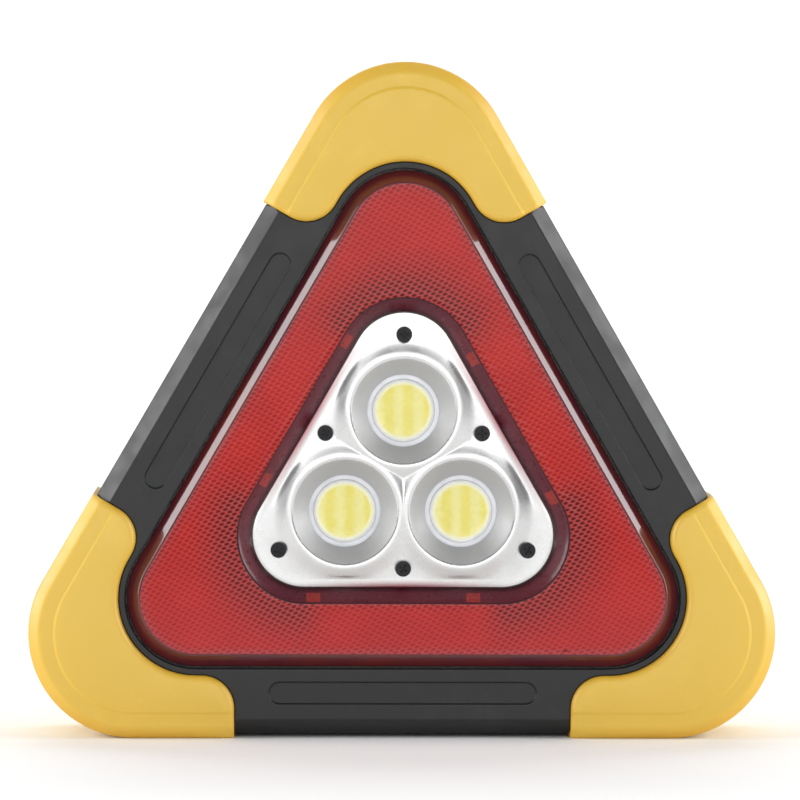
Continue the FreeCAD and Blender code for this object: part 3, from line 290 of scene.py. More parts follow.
def metal(name, colour, roughness, brush=(1, 1, 1), scratch=0.00001):
    """Metal with fine brush marks along one direction and patches of a duller shine."""
    shader = Shader(name, colour, roughness, Metallic=1.0)
    dull = tuple(part * 0.86 for part in colour)
    shader.colour(shader.mix(shader.span(shader.noise(90, 5, 0.6), 0.45, 0.75), colour, dull))
    shader.roughness(shader.span(shader.noise(220, 4), 0.3, 0.7, roughness - 0.06, roughness + 0.08))
    shader.bump(shader.noise(900, 3, 0.6, brush), scratch, 0.5)
    return shader.material


def glossy_resin(name, colour, roughness, **values):
    """Resin or coated board: smooth, with a faint mottle and a clear top layer."""
    shader = Shader(name, colour, roughness, **values)
    darker = tuple(part * 0.82 for part in colour)
    shader.colour(shader.mix(shader.span(shader.noise(400, 3), 0.4, 0.7), colour, darker))
    shader.roughness(shader.span(shader.noise(300, 2), 0.3, 0.7, roughness, roughness + 0.1))
    shader.bump(shader.noise(1500, 2), 0.00001, 0.4)
    return shader.material


def rubber(name, colour):
    shader = Shader(name, colour, 0.7)
    dusty = tuple(part * 1.2 + 0.012 for part in colour)
    shader.colour(shader.mix(shader.span(shader.noise(120, 6, 0.7), 0.45, 0.75), colour, dusty))
    shader.roughness(shader.span(shader.noise(260, 3), 0.3, 0.7, 0.62, 0.8))
    shader.bump(shader.noise(1800, 3), 0.00003, 0.7)
    return shader.material


def prism_cells(shader):
    """How far a point is from the middle of its prism: about 1 on the ridges between prisms. The lattice
    is the one that make_prisms builds."""
    split = shader.nodes.new("ShaderNodeSeparateXYZ")
    shader.link(shader.place, split.inputs[0])
    across, up = split.outputs["X"], split.outputs["Z"]
    slant = math.radians(PRISM_SLANT)
    cosine, sine = math.cos(slant) / MM, math.sin(slant) / MM
    run = shader.math("ADD", shader.math("MULTIPLY", across, cosine), shader.math("MULTIPLY", up, sine))
    rise = shader.math("SUBTRACT", shader.math("MULTIPLY", up, cosine),
                       shader.math("MULTIPLY", across, sine))
    rows = shader.math("DIVIDE", rise, PRISM_ROW)
    shift = shader.math("MULTIPLY", shader.math("FLOORED_MODULO", shader.math("FLOOR", rows), 2.0), 0.5)
    columns = shader.math("ADD", shader.math("DIVIDE", run, PRISM_PITCH), shift)
    side = shader.math("ABSOLUTE", shader.math("SUBTRACT", shader.math("FRACT", columns), 0.5))
    level = shader.math("ABSOLUTE", shader.math("SUBTRACT", shader.math("FRACT", rows), 0.5))
    wide = shader.math("POWER", shader.math("MULTIPLY", side, 2.3), 2.0)
    tall = shader.math("POWER", shader.math("MULTIPLY", level, 1.7), 2.0)
    return shader.math("SQRT", shader.math("ADD", wide, tall))


def red_prisms():
    """Clear red plastic over small prisms: painted shade in the pits, with paler ridges between them, where
    a point's depth is high, and an even red where it is low. A painted pale pink sheen lies over it."""
    shader = Shader("lens_prisms", (0.5, 0.05, 0.045), 0.45, Coat_Weight=0.4, Coat_Roughness=0.05,
                    Specular_IOR_Level=0.06)
    distance = prism_cells(shader)
    pit = shader.span(distance, 0.5, 1.0, 1.0, 0.0)
    depth, painted_sheen = shader.attribute("depth"), shader.attribute("painted_sheen")
    cloud = shader.span(shader.noise(70, 3), 0.35, 0.65)
    smooth = shader.mix(cloud, (0.50, 0.018, 0.014), (0.41, 0.012, 0.010))
    ridge = shader.mix(depth, (0.54, 0.034, 0.026), (0.40, 0.04, 0.038))
    # Painted shade in the pits, darker where a point's depth is high
    shaded_pits = shader.mix(depth, (0.33, 0.004, 0.004), (0.10, 0.0002, 0.0006))
    evenness = shader.math("MULTIPLY", shader.math("SUBTRACT", 1.0, depth), 0.55)
    body = shader.mix(evenness, shader.mix(pit, ridge, shaded_pits), smooth)
    # Painted pale pink sheen, stronger towards the bottom and along the face's outer edge
    shader.colour(shader.mix(shader.math("MULTIPLY", painted_sheen, 0.5), body, (0.50, 0.10, 0.12)))
    shader.roughness(shader.span(distance, 0.2, 1.0, 0.5, 0.3))
    shader.bump(shader.math("MULTIPLY", pit, -1.0), 0.00005, 0.5)
    return shader.material


def red_rim():
    """The lens's smooth outer bevel, where the casing behind shows dark through the red."""
    shader = Shader("lens_rim", (0.10, 0.02, 0.025), 0.12, Coat_Weight=0.65, Coat_Roughness=0.03,
                    Specular_IOR_Level=0.3)
    tone = shader.span(shader.noise(50, 3), 0.3, 0.7)
    shader.colour(shader.mix(tone, (0.13, 0.02, 0.018), (0.09, 0.016, 0.024)))
    shader.roughness(shader.span(shader.noise(400, 3), 0.3, 0.7, 0.1, 0.16))
    shader.bump(shader.noise(900, 2), 0.000008, 0.4)
    return shader.material


def red_well():
    """The lens's smooth inner wall, deep purple where no prisms back it, with painted shade along its foot
    beside the panel.
    """
    shader = Shader("lens_well", (0.1, 0.02, 0.03), 0.3, Coat_Weight=0.2, Coat_Roughness=0.15,
                    Specular_IOR_Level=0.25)
    edge = shader.attribute("depth")
    cloud = shader.span(shader.noise(60, 3), 0.3, 0.7)
    tone = shader.mix(cloud, (0.115, 0.018, 0.027), (0.09, 0.012, 0.022))
    # Painted shade at the wall's foot, where it meets the panel
    shader.colour(shader.mix(edge, tone, (0.03, 0.003, 0.006)))
    shader.roughness(shader.span(shader.noise(500, 3), 0.3, 0.7, 0.26, 0.36))
    shader.bump(shader.noise(900, 2), 0.000004, 0.4)
    return shader.material


def red_catch():
    """The paler red patches where the lens's wall has its catches."""
    shader = Shader("lens_catch", (0.3, 0.03, 0.025), 0.4, Coat_Weight=0.2, Coat_Roughness=0.1,
                    Specular_IOR_Level=0.25)
    shader.colour(shader.mix(shader.noise(900, 3), (0.33, 0.035, 0.03), (0.2, 0.018, 0.018)))
    shader.roughness(shader.span(shader.noise(600, 2), 0.3, 0.7, 0.25, 0.4))
    shader.bump(shader.noise(900, 2), 0.00001, 0.5)
    return shader.material


def silver_coating(name, colour, roughness, metallic=1.0):
    """Vacuum-metallised plastic: bright, with a soft orange-peel surface and faint streaks. Near its edge,
    where the lens's wall stands beside it, a painted reflection of that red wall tints it red."""
    shader = Shader(name, colour, roughness, Metallic=metallic)
    streak = shader.span(shader.noise(60, 4, 0.6, (1, 1, 0.25)), 0.4, 0.7)
    dull = tuple(part * 0.93 for part in colour)
    plain = shader.mix(streak, colour, dull)
    # Painted reflection of the lens's red wall on the panel's edge
    shader.colour(shader.mix(shader.attribute("painted_red_reflection"), plain, (0.30, 0.10, 0.115)))
    shader.roughness(shader.span(shader.noise(160, 3), 0.3, 0.7, roughness - 0.04, roughness + 0.05))
    peel = shader.bump(shader.noise(260, 2), 0.00002, 0.5)
    shader.bump(shader.noise(2600, 2), 0.000008, 0.5, peel)
    return shader.material


def phosphor_gel():
    """Yellow phosphor gel with faint upright bands, paler and darker in turn, painted as reflections of the
    tall side softboxes. It is paler where a mesh has a rim."""
    shader = Shader("phosphor_gel", (0.86, 0.76, 0.16), 0.28, Coat_Weight=0.6, Coat_Roughness=0.08)
    split = shader.nodes.new("ShaderNodeSeparateXYZ")
    shader.link(shader.place, split.inputs[0])
    wave = shader.math("SINE", shader.math("MULTIPLY", split.outputs["X"], 2 * math.pi / REFLECTION_BAND_PITCH))
    unevenness = shader.math("MULTIPLY", shader.noise(400, 3), 1.6)
    reflected_band = shader.span(shader.math("ADD", wave, unevenness), -0.4, 2.0)
    # Painted reflection of the tall softboxes as upright bands
    gel = shader.mix(reflected_band, (0.95, 0.89, 0.33), (0.90, 0.80, 0.15))
    shader.colour(shader.mix(shader.attribute("rim"), gel, (0.97, 0.96, 0.68)))
    shader.roughness(shader.span(shader.noise(700, 2), 0.3, 0.7, 0.22, 0.34))
    shader.bump(shader.noise(1200, 3), 0.00002, 0.6)
    return shader.material


def clear_acrylic():
    shader = Shader("clear_acrylic", (0.82, 0.86, 0.86), 0.1, Transmission_Weight=0.6)
    shader.roughness(shader.span(shader.noise(800, 2), 0.3, 0.7, 0.06, 0.2))
    shader.bump(shader.noise(1500, 2), 0.00001, 0.5)
    return shader.material


def make_materials():
    """One finish for each material slot of the record."""
    return {
        "black_abs": moulded_plastic("black_abs", (0.0145, 0.0147, 0.0153), 0.36, Specular_IOR_Level=0.42),
        "yellow_abs": moulded_plastic("yellow_abs", (0.735, 0.475, 0.05), 0.43, wear=1.06,
                                      Specular_IOR_Level=0.75),
        "red_lens": red_prisms(),
        "silver_panel": silver_coating("silver_panel", (0.74, 0.74, 0.735), 0.27),
        "black_screw": metal("black_screw", (0.035, 0.035, 0.037), 0.45),
        "steel": metal("steel", (0.55, 0.55, 0.56), 0.3, (1, 6, 1)),
        "aluminium": metal("aluminium", (0.6, 0.61, 0.64), 0.35, (8, 1, 1)),
        "white_silicone": rubber("white_silicone", (0.86, 0.87, 0.84)),
        "phosphor": phosphor_gel(),
        "white_board": glossy_resin("white_board", (0.75, 0.76, 0.74), 0.35, Coat_Weight=0.3),
        "green_board": glossy_resin("green_board", (0.02, 0.16, 0.05), 0.3, Coat_Weight=0.5),
        "black_component": glossy_resin("black_component", (0.02, 0.02, 0.022), 0.5),
        "red_led": glossy_resin("red_led", (0.55, 0.09, 0.07), 0.2, Coat_Weight=0.5),
        "white_led": glossy_resin("white_led", (0.8, 0.78, 0.6), 0.2, Coat_Weight=0.5),
        "cell_wrap": glossy_resin("cell_wrap", (0.03, 0.13, 0.34), 0.3, Coat_Weight=0.3),
        "nickel": metal("nickel", (0.68, 0.66, 0.62), 0.28, (1, 1, 5)),
        "red_button": rubber("red_button", (0.40, 0.018, 0.014)),
        "black_rubber": rubber("black_rubber", (0.034, 0.034, 0.036)),
        "clear_acrylic": clear_acrylic(),
        "red_insulation": moulded_plastic("red_insulation", (0.45, 0.02, 0.015), 0.4),
        "black_insulation": moulded_plastic("black_insulation", (0.02, 0.02, 0.02), 0.4),
    }


def finish_frame(materials):
    """Gives each CAD node that stays in view the finish of its slot."""
    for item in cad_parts.values():
        for holder in item.material_slots:
            holder.material = materials[holder.material.name.split(".")[0]]


# Casing, stand and controls

# Moulded pieces: the CAD node, its body and how far its sharp edges are rounded
SOFTENED = [("front_bezel", "casing", 0.36), ("rear_cover", "casing", 0.3), ("stand", "stand", 0.45),
            ("power_button", "power_button", 0.4), ("usb_port_cover", "usb_port_cover", 0.3),
            ("usb_cover_anchor", "casing", 0.15)]
# Edges sharper than this many degrees are rounded, and faces flatter than the other are joined first
SHARP_EDGE, FLAT_EDGE = 32, 0.4


def soften_edges(node, body, width, materials):
    """A copy of a CAD node with its sharp edges rounded a little, as moulded edges are."""
    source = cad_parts[node]
    slot = source.data.materials[0].name.split(".")[0]
    mesh = bmesh.new()
    mesh.from_mesh(source.data)
    bmesh.ops.remove_doubles(mesh, verts=mesh.verts, dist=1e-6)
    bmesh.ops.dissolve_limit(mesh, angle_limit=math.radians(FLAT_EDGE), verts=mesh.verts,
                             edges=mesh.edges)
    data = bpy.data.meshes.new(f"moulded_{node}")
    mesh.to_mesh(data)
    mesh.free()
    data.materials.clear()
    data.materials.append(materials[slot])
    data.shade_smooth()
    item = bpy.data.objects.new(f"moulded_{node}", data)
    bpy.context.scene.collection.objects.link(item)
    rounding = item.modifiers.new("rounding", "BEVEL")
    rounding.width = width * MM
    rounding.segments = 3
    rounding.limit_method = "ANGLE"
    rounding.angle_limit = math.radians(SHARP_EDGE)
    rounding.use_clamp_overlap = False
    item.modifiers.new("normals", "WEIGHTED_NORMAL").keep_sharp = True
    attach(item, body)
    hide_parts(node)


# Corner bumpers

# How a bumper's face rises from its silhouette over a step to its plateau: inset, depth
BUMPER_PROFILE = [(0, 3.35), (0.12, 2.95), (0.45, 2.6), (2.4, 0.95), (3.0, 0.6), (3.7, 0.5), (6.5, 0.5),
                  (6.8, 0.4), (7.15, 0.1), (7.5, 0)]
REAR_PROFILE = [(0, 2.5), (0.3, 2.15), (2.5, 0.3), (3.1, 0)]
# The rounding of the inner edge, its share that is left at the silhouette, and its steps
ROUNDING, REAR_ROUNDING, LEAST_ROUNDING = 2.0, 0.6, 0.3
ROUND_STEPS, REAR_ROUND_STEPS = 6, 3
END_ARC_STEPS = 12
# How far from the silhouette the painted shade on the plastic reaches
RIM_SHADE_FADE = 3.4
# The depths at which the hidden hollow and the plain part of the side wall start
SOCKET_FRONT, SIDE_WALL_START = 2.8, 4.8
# The countersunk hole of the corner screw: radius, depth from the rear
SCREW_HOLE = [(3.15, 0), (3.05, 0.1), (1.7, 1.6), (1.7, BUMPER_WALL)]
SCREW_HOLE_CORNERS = 24


def bumper_inner_edge(inset, profile):
    """The edge from the silhouette round the end, past the lens's corner and back, moved inwards. Its
    first points, and its last ones, are at the insets of the profile."""
    end, radius = BUMPER_END + inset, BUMPER_END_ARC - inset
    side = LENS_SIDE + BUMPER_OFFSET + inset
    right = [spot(BUMPER_SIDE - reach, end) for reach, _ in profile]
    for step in range(END_ARC_STEPS + 1):
        angle = math.radians(90 * step / END_ARC_STEPS)
        right.append(spot(side + radius * (1 - math.sin(angle)), end + radius * (1 - math.cos(angle))))
    middle = Vector((0, 2 * (LENS_SIDE - LENS_CORNER)))
    right += arc(middle, LENS_CORNER + BUMPER_OFFSET + inset, 30, 90, 24)
    return right + mirrored(right[:-1])


def bumper_outer_edge(inset, end):
    """The silhouette from one end to the other, moved inwards."""
    middle = Vector((0, 2 * (BUMPER_SIDE - BUMPER_CORNER)))
    points = [spot(BUMPER_SIDE - inset, end)]
    points += arc(middle, BUMPER_CORNER - inset, 30, 150, 48)
    return points + mirrored(points[:1])


def bumper_face(mesh, profile, rounding, steps, rear=False):
    """One face of the bumper with its falling profile outside and its rounded edge inside. Returns the
    corners of its inner edge and of its silhouette, and the flat part's own corners."""
    stations = len(profile)

    def depth(value):
        return OVERALL_DEPTH - value if rear else value

    rim = mesh.verts.layers.float.get("rim")
    rows = []
    for step in range(steps + 1):
        angle = math.radians(90 * step / steps)
        inset, drop = rounding * (1 - math.cos(angle)), rounding * (1 - math.sin(angle))
        points = bumper_inner_edge(inset, profile)
        falls = []
        for place in range(len(points)):
            station = min(place, len(points) - 1 - place)
            if station < stations:
                reach = profile[station][0] / profile[-1][0]
                share = LEAST_ROUNDING + (1 - LEAST_ROUNDING) * reach
                falls.append(depth(profile[station][1] + drop * share))
            else:
                falls.append(depth(drop))
        rows.append(loop(mesh, points, falls))
        # Painted shade on the rounded inner edge: full at its foot, fading to none where it meets the flat
        for corner in rows[-1]:
            corner[rim] = 1 - step / steps
    for row, following in zip(rows, rows[1:]):
        strip(mesh, row, following, closed=False)
    inner = rows[-1]
    outer_rows = []
    for station, (inset, fall) in enumerate(profile):
        points = bumper_outer_edge(inset, BUMPER_END + rounding)
        corners = loop(mesh, points[1:-1], depth(fall))
        # Painted shade on the outer band: full at the silhouette, fading inwards
        for corner in corners:
            corner[rim] = max(0.0, 1 - inset / RIM_SHADE_FADE)
        corners.insert(0, inner[station])
        corners.append(inner[len(inner) - 1 - station])
        outer_rows.append(corners)
    for row, following in zip(outer_rows, outer_rows[1:]):
        strip(mesh, row, following, closed=False)
    flat = outer_rows[-1] + inner[stations:len(inner) - stations][::-1]
    silhouette = [row[0] for row in rows][:-1] + outer_rows[0] + [row[-1] for row in rows][:-1][::-1]
    return rows[0], silhouette, flat


def make_bumper(name, material):
    """A corner guard of C-shaped section: front face, silhouette wall and rear face with a screw hole."""
    mesh = bmesh.new()
    # The rim layer holds the strength of the painted shade on the bumper's edges
    mesh.verts.layers.float.new("rim")
    front_edge, front_rim, front_flat = bumper_face(mesh, BUMPER_PROFILE, ROUNDING, ROUND_STEPS)
    fill(mesh, front_flat)
    rear_edge, rear_rim, rear_flat = bumper_face(mesh, REAR_PROFILE, REAR_ROUNDING, REAR_ROUND_STEPS,
                                                 rear=True)
    hole = []
    for radius, level in SCREW_HOLE:
        points = circle(Vector((0, CORNER_SCREW_RING)), radius, SCREW_HOLE_CORNERS)
        hole.append(loop(mesh, points, OVERALL_DEPTH - level))
    for ring, following in zip(hole, hole[1:]):
        strip(mesh, ring, following)
    fill(mesh, rear_flat, hole[0])

    rim_points = bumper_outer_edge(0, BUMPER_END)
    front_wall = loop(mesh, rim_points, SIDE_WALL_START)
    rear_wall = loop(mesh, rim_points, OVERALL_DEPTH - SIDE_WALL_START)
    bridge(mesh, front_rim, front_wall)
    strip(mesh, front_wall, rear_wall, closed=False)
    bridge(mesh, rear_rim, rear_wall)

    cavity = [bumper_socket(mesh, BUMPER_PROFILE, SOCKET_FRONT),
              bumper_socket(mesh, REAR_PROFILE, OVERALL_DEPTH - BUMPER_WALL)]
    edges, profiles = (front_edge, rear_edge), (BUMPER_PROFILE, REAR_PROFILE)
    for (_, lip), edge, profile in zip(cavity, edges, profiles):
        skipped = len(profile)
        strip(mesh, edge[skipped:len(edge) - skipped], lip, closed=False)
    strip(mesh, cavity[0][0], cavity[1][0], closed=False)
    fill(mesh, cavity[0][0] + cavity[0][1][::-1])
    fill(mesh, cavity[1][0] + cavity[1][1][::-1], hole[-1])
    for side in (0, -1):
        ends = []
        for (under, lip), edge, profile in zip(cavity, edges, profiles):
            stations = edge[:len(profile) + 1] if side == 0 else edge[-len(profile) - 1:][::-1]
            ends.append((stations, [lip[side], under[side]]))
        (first, first_inside), (second, second_inside) = ends
        outline = [front_wall[side]] + first + first_inside
        outline += second_inside[::-1] + second[::-1] + [rear_wall[side]]
        mesh.faces.new(outline)
    bmesh.ops.rotate(mesh, verts=mesh.verts, cent=at((0, 0), 0),
                     matrix=Matrix.Rotation(math.radians(-BUMPER_TURNS[name]), 3, "Y"))
    piece(f"bumper_{name}", mesh, [material], [f"corner_bumper_{name}"], sharp=38)


def bridge(mesh, rim, wall):
    """Joins a face's silhouette to the wall below it, which has one corner at each of its ends."""
    extra = (len(rim) - len(wall)) // 2
    strip(mesh, rim[extra:len(rim) - extra], wall, closed=False)
    for place in range(extra):
        mesh.faces.new((rim[place], rim[place + 1], wall[0]))
        mesh.faces.new((rim[-1 - place], rim[-2 - place], wall[-1]))


def bumper_socket(mesh, profile, depth):
    """The hidden hollow's outline at one depth: its outer line, and its edge under the face's edge."""
    outer = loop(mesh, bumper_outer_edge(BUMPER_WALL, BUMPER_END), depth)
    points = bumper_inner_edge(0, profile)
    lip = loop(mesh, points[len(profile):len(points) - len(profile)], depth)
    return outer, lip


# Lens

# How far the prisms stay from the edges of the lens's face
PRISM_EDGE = 0.8
# A pit's share of its depth where the prisms are cut shallowest and their painted shade is weakest
LEAST_PIT = 0.45
# The corners of a prism about its middle, in half pitches across and thirds of a row up
PRISM_CORNERS = [(0, 2), (-1, 1), (-1, -1), (0, -2), (1, -1), (1, 1)]
# The catches in the well's wall: place along a side and half the length. The wall's other corners
# between them, and from where on a corner's place grows with the outline, up to a limit
CATCHES = [(-18.7, 1.85), (24.0, 1.85)]
PLAIN_STOPS = [-10.5, -3.0, 6.0, 14.5]
OUTER_STOPS, MOST_GROWTH = 20, 1.2
LENS_ARC_STEPS = 24
# The lens's materials by their places in its mesh
PRISMS, RIM, WELL, CATCH = range(4)
# The bevel's back edge: inset from the lens's side, depth from the bevel's back
BEVEL_BACK_EDGE = [(0, 0.3), (0.02, 0.05), (0.12, -0.1), (0.25, -0.225)]
# The face's outer edge and its inner one: distance outside the outline, depth from the face
FACE_EDGE = [(0.5, 0.455), (0.35, 0.31), (0.1, 0.09), (-0.3, 0)]
WELL_EDGE = [(0.35, 0), (0.08, 0.08)]
# Shares of the way down the well's wall; the catches are between CATCH_ROWS and the rows that follow
WELL_SHARES = (0.06, 0.3, 0.62, 0.86, 1.0)
CATCH_ROWS = (2, 3)
# The widths of the bands of deep prisms with strong painted shade round the panel's corners and along the
# face's two edges
CORNER_BAND, OUTER_BAND, INNER_BAND = 17, 3.6, 3.4


def lens_line(side, corner):
    """The lens's outline at some side and corner, with extra points on its sides where the catches are.
    Also returns the places of the points that start a catch."""
    ends = [(place - half, place + half) for place, half in CATCHES]
    firsts = [end for _, end in ends]
    stops = sorted([stop for pair in ends for stop in pair] + PLAIN_STOPS, reverse=True)
    growth = min(max(1.0, side / WELL_SIDE), MOST_GROWTH)
    points, catches = [], []
    for turn in CORNER_TURNS:
        points += arc(polar(2 * (side - corner), turn), corner, turn - 60, turn + 60, LENS_ARC_STEPS)
        for stop in stops:
            if stop in firsts:
                catches.append(len(points))
            along = stop * growth if abs(stop) > OUTER_STOPS else stop
            points.append(polar(side, turn + 60) + polar(along, turn - 30))
    return points, catches


def outline_gap(point, side, corner):
    """How far a point is outside a triangle with round corners; less than 0 inside it."""
    core = [polar(2 * (side - corner), turn) for turn in CORNER_TURNS]
    inside = all(point.dot(polar(1, turn)) < side - corner for turn in SIDE_TURNS)
    distances = []
    for start, end in zip(core, core[1:] + core[:1]):
        run = end - start
        share = max(0.0, min(1.0, (point - start).dot(run) / run.length_squared))
        distances.append((point - start.lerp(end, share)).length)
    gap = min(distances)
    return (-gap if inside else gap) - corner


def border_lines(faces):
    """The closed lines round a patch of faces, the longest first."""
    patch = set(faces)
    border = dict.fromkeys(edge for face in faces for edge in face.edges
                           if sum(other in patch for other in edge.link_faces) == 1)
    lines = []
    while border:
        edge = border.popitem()[0]
        first, corner = edge.verts
        line = [first]
        while corner is not first:
            line.append(corner)
            edge = next(item for item in corner.link_edges if item in border)
            del border[edge]
            corner = edge.other_vert(corner)
        lines.append(line)
    return sorted(lines, key=len, reverse=True)


def make_prisms(mesh, painted_shade_layer, painted_sheen_layer):
    """The six-sided pits of the lens's face, in offset rows that fill the ring between its smooth edges.
    Returns the lines round the prisms, outside and inside."""
    slant = Matrix.Rotation(math.radians(PRISM_SLANT), 2)
    centre = Vector((0, CENTRE / MM))
    corners, faces = {}, []

    def place(half_pitches, thirds):
        lattice = Vector((half_pitches * PRISM_PITCH / 2, thirds * PRISM_ROW / 3))
        return slant @ lattice - centre

    def is_clear(point):
        outside = outline_gap(point, FACE_SIDE, FACE_CORNER)
        return outside <= -PRISM_EDGE and outline_gap(point, WELL_SIDE, WELL_CORNER) >= PRISM_EDGE

    def corner_at(key, fall):
        if key not in corners:
            point = place(*key)
            deep, painted_sheen = face_tones(point, LENS_FRONT)
            share = LEAST_PIT + (1 - LEAST_PIT) * deep
            corner = mesh.verts.new(at(point, LENS_FRONT + fall * share))
            # The layers carry the strength of the painted shade in the pits and of the painted sheen
            corner[painted_shade_layer], corner[painted_sheen_layer] = deep, painted_sheen
            corners[key] = corner
        return corners[key]

    reach = 2 * FACE_SIDE + CENTRE / MM
    rows, columns = int(reach / PRISM_ROW) + 1, int(reach / PRISM_PITCH) + 1
    for row in range(-rows, rows):
        for column in range(-columns, columns):
            middle = (2 * column + 1 - row % 2, 3 * row + 1.5)
            keys = [(middle[0] + across, middle[1] + up) for across, up in PRISM_CORNERS]
            if not all(is_clear(place(*key)) for key in keys):
                continue
            pit = corner_at(middle, PRISM_DEPTH)
            outline = [corner_at(key, 0) for key in keys]
            for here, there in zip(outline, outline[1:] + outline[:1]):
                faces.append(mesh.faces.new((here, there, pit)))
    return border_lines(faces)


def make_lens(materials):
    """Outer wall, smooth bevel, prismatic face, smooth sloping well wall and a flat back."""
    mesh = bmesh.new()
    # Per corner: the strength of the painted shade on the face's pits and at the well wall's foot, and of
    # the painted sheen
    painted_shade_layer = mesh.verts.layers.float.new("depth")
    painted_sheen_layer = mesh.verts.layers.float.new("painted_sheen")
    bevel_back = LENS_FRONT + BEVEL_DEPTH
    rim = [(LENS_SIDE, LENS_CORNER, LENS_BACK)]
    rim += [(LENS_SIDE - inset, LENS_CORNER - inset, bevel_back + fall) for inset, fall in BEVEL_BACK_EDGE]
    rim += [(FACE_SIDE + gap, FACE_CORNER + gap, LENS_FRONT + fall) for gap, fall in FACE_EDGE]
    wall = [(WELL_SIDE + gap, WELL_CORNER + gap, LENS_FRONT + fall) for gap, fall in WELL_EDGE]
    for share in WELL_SHARES:
        wall.append((WELL_SIDE - WELL_SLOPE * share, WELL_CORNER - WELL_SLOPE * share,
                     LENS_FRONT + (PANEL_FRONT - LENS_FRONT) * share))
    wall.append((WELL_SIDE - WELL_SLOPE, WELL_CORNER - WELL_SLOPE, LENS_BACK))
    rows = []
    for side, corner, depth in rim + wall:
        points, catches = lens_line(side, corner)
        row = loop(mesh, points, depth)
        for vert, point in zip(row, points):
            vert[painted_shade_layer], vert[painted_sheen_layer] = face_tones(point, depth)
        rows.append(row)
    face_outside, face_inside = rows[len(rim) - 1], rows[len(rim)]
    for place, (row, following) in enumerate(zip(rows, rows[1:] + rows[:1])):
        if row is face_outside:
            continue
        faces = strip(mesh, row, following, material=RIM if place < len(rim) else WELL)
        if place - len(rim) in CATCH_ROWS:
            for catch in catches:
                faces[catch].material_index = CATCH
    prisms_outside, prisms_inside = make_prisms(mesh, painted_shade_layer, painted_sheen_layer)
    fill(mesh, face_outside, prisms_outside, material=PRISMS)
    fill(mesh, prisms_inside, face_inside, material=PRISMS)
    piece("prismatic_lens", mesh, materials, ["warning_lens"], sharp=50)


def face_tones(point, depth):
    """How deep the prisms are cut at a point of the lens's face together with how strong the painted shade
    in their pits is, and how strong a painted pale sheen is there. Both depth and shade are greatest
    outside the panel's corners and along the rims, and low in bands beside the panel's sides. Off the face,
    the first number paints shade at the foot of the well's wall."""
    if depth > LENS_FRONT + 0.2:
        return (1.0 if depth > PANEL_FRONT - 0.75 else 0.0), 0.0
    corners = []
    for turn in CORNER_TURNS:
        offset = point - polar(2 * (WELL_SIDE - WELL_CORNER), turn)
        facing = offset.normalized().dot(polar(1, turn))
        near = 1.3 * (1 - (offset.length - WELL_CORNER) / CORNER_BAND)
        corners.append(near * limited((facing - 0.1) / 0.45))
    outer = limited(1 + outline_gap(point, FACE_SIDE, FACE_CORNER) / OUTER_BAND)
    inner = limited(1 - outline_gap(point, WELL_SIDE, WELL_CORNER) / INNER_BAND)
    deep = limited(max(*corners, outer * 0.95, inner * 0.8, 0.16))
    # The second number is a painted pale sheen, stronger towards the bottom and along the face's outer edge
    low = limited((-point.y - 15) / 30)
    painted_sheen = max(outer * (0.25 + 0.5 * low), 0.28 * low)
    return deep, painted_sheen


# Lamp panel and lamps

# A cup seen in section: radius and depth, from the throat up the dish, over the rim and down the flare
CUP_PROFILE = [(9.7, 8.9), (9.7, 8.15), (9.85, 8.0), (11.0, 7.2), (12.2, 6.15), (13.2, 5.15), (13.95, 4.55),
               (14.3, 4.36), (14.65, 4.3), (15.1, 4.3), (15.5, 4.36), (16.3, 4.62), (17.4, 5.02),
               (18.6, 5.33), (19.6, 5.48)]
# Panel's edge: inset, depth and how strong the painted reflection of the red wall beside it is
PANEL_EDGE = [(0, PANEL_BACK, 1.0), (0, PANEL_FRONT + 0.2, 1.0), (0.06, PANEL_FRONT + 0.06, 1.0),
              (0.2, PANEL_FRONT, 1.0), (0.9, PANEL_FRONT, 0.65), (2.0, PANEL_FRONT, 0)]
CUP_BACK = [(11.0, 8.9), (11.2, 8.4), (13.2, PANEL_BACK)]
# The stations of the cup's section at the top of the dish and where its flare starts
RIM_STATION, FLARE_STATION = 7, 9
CUP_STEPS = 96
# How far from a side's middle the painted red reflection on the panel's edge reaches, in degrees round the
# centre
RED_REFLECTION_REACH = 46
# The dam's section and the gel's: radius, depth
DAM_PROFILE = [(7.15, 9.1), (7.15, 8.6), (7.25, 8.42), (7.45, 8.32), (7.75, 8.3), (8.1, 8.36), (8.35, 8.55),
               (8.48, 8.8), (8.5, 9.1), (7.15, 9.1)]
GEL_PROFILE = [(0, 9.1), (7.14, 9.1), (7.16, 8.6), (7.55, 8.31), (7.62, 8.26), (7.45, 8.27), (7.1, 8.4),
               (6.6, 8.5), (5.0, 8.5), (2.5, 8.48), (0, 8.47)]
# The radius at which the gel starts to grow paler, and the width of that band
GEL_RIM, GEL_RIM_WIDTH = 6.6, 0.8


def reach_towards(angle, directions, distance):
    """How far a ray at some angle runs before it meets a straight line that faces one of the directions."""
    facing = max(math.cos(math.radians(angle - direction)) for direction in directions)
    return distance / facing if facing > 0.1 else math.inf


def neighbour_reach(angle):
    """How far a cup's flare runs, at an angle from the outward direction, before it meets another flare."""
    return reach_towards(angle, (150, 210), LAMP_RING * math.sqrt(3) / 2)


def edge_reach(angle):
    """How far a cup's flare runs before it meets the flat panel."""
    room = PANEL_SIDE - LAMP_RING / 2 - PANEL_EDGE[-1][0] - 0.2
    return min(CUP_PROFILE[-1][0], reach_towards(angle, (-60, 60), room))


def cup_reach(angle):
    """How far a cup's flare runs before it meets either."""
    return min(neighbour_reach(angle), edge_reach(angle))


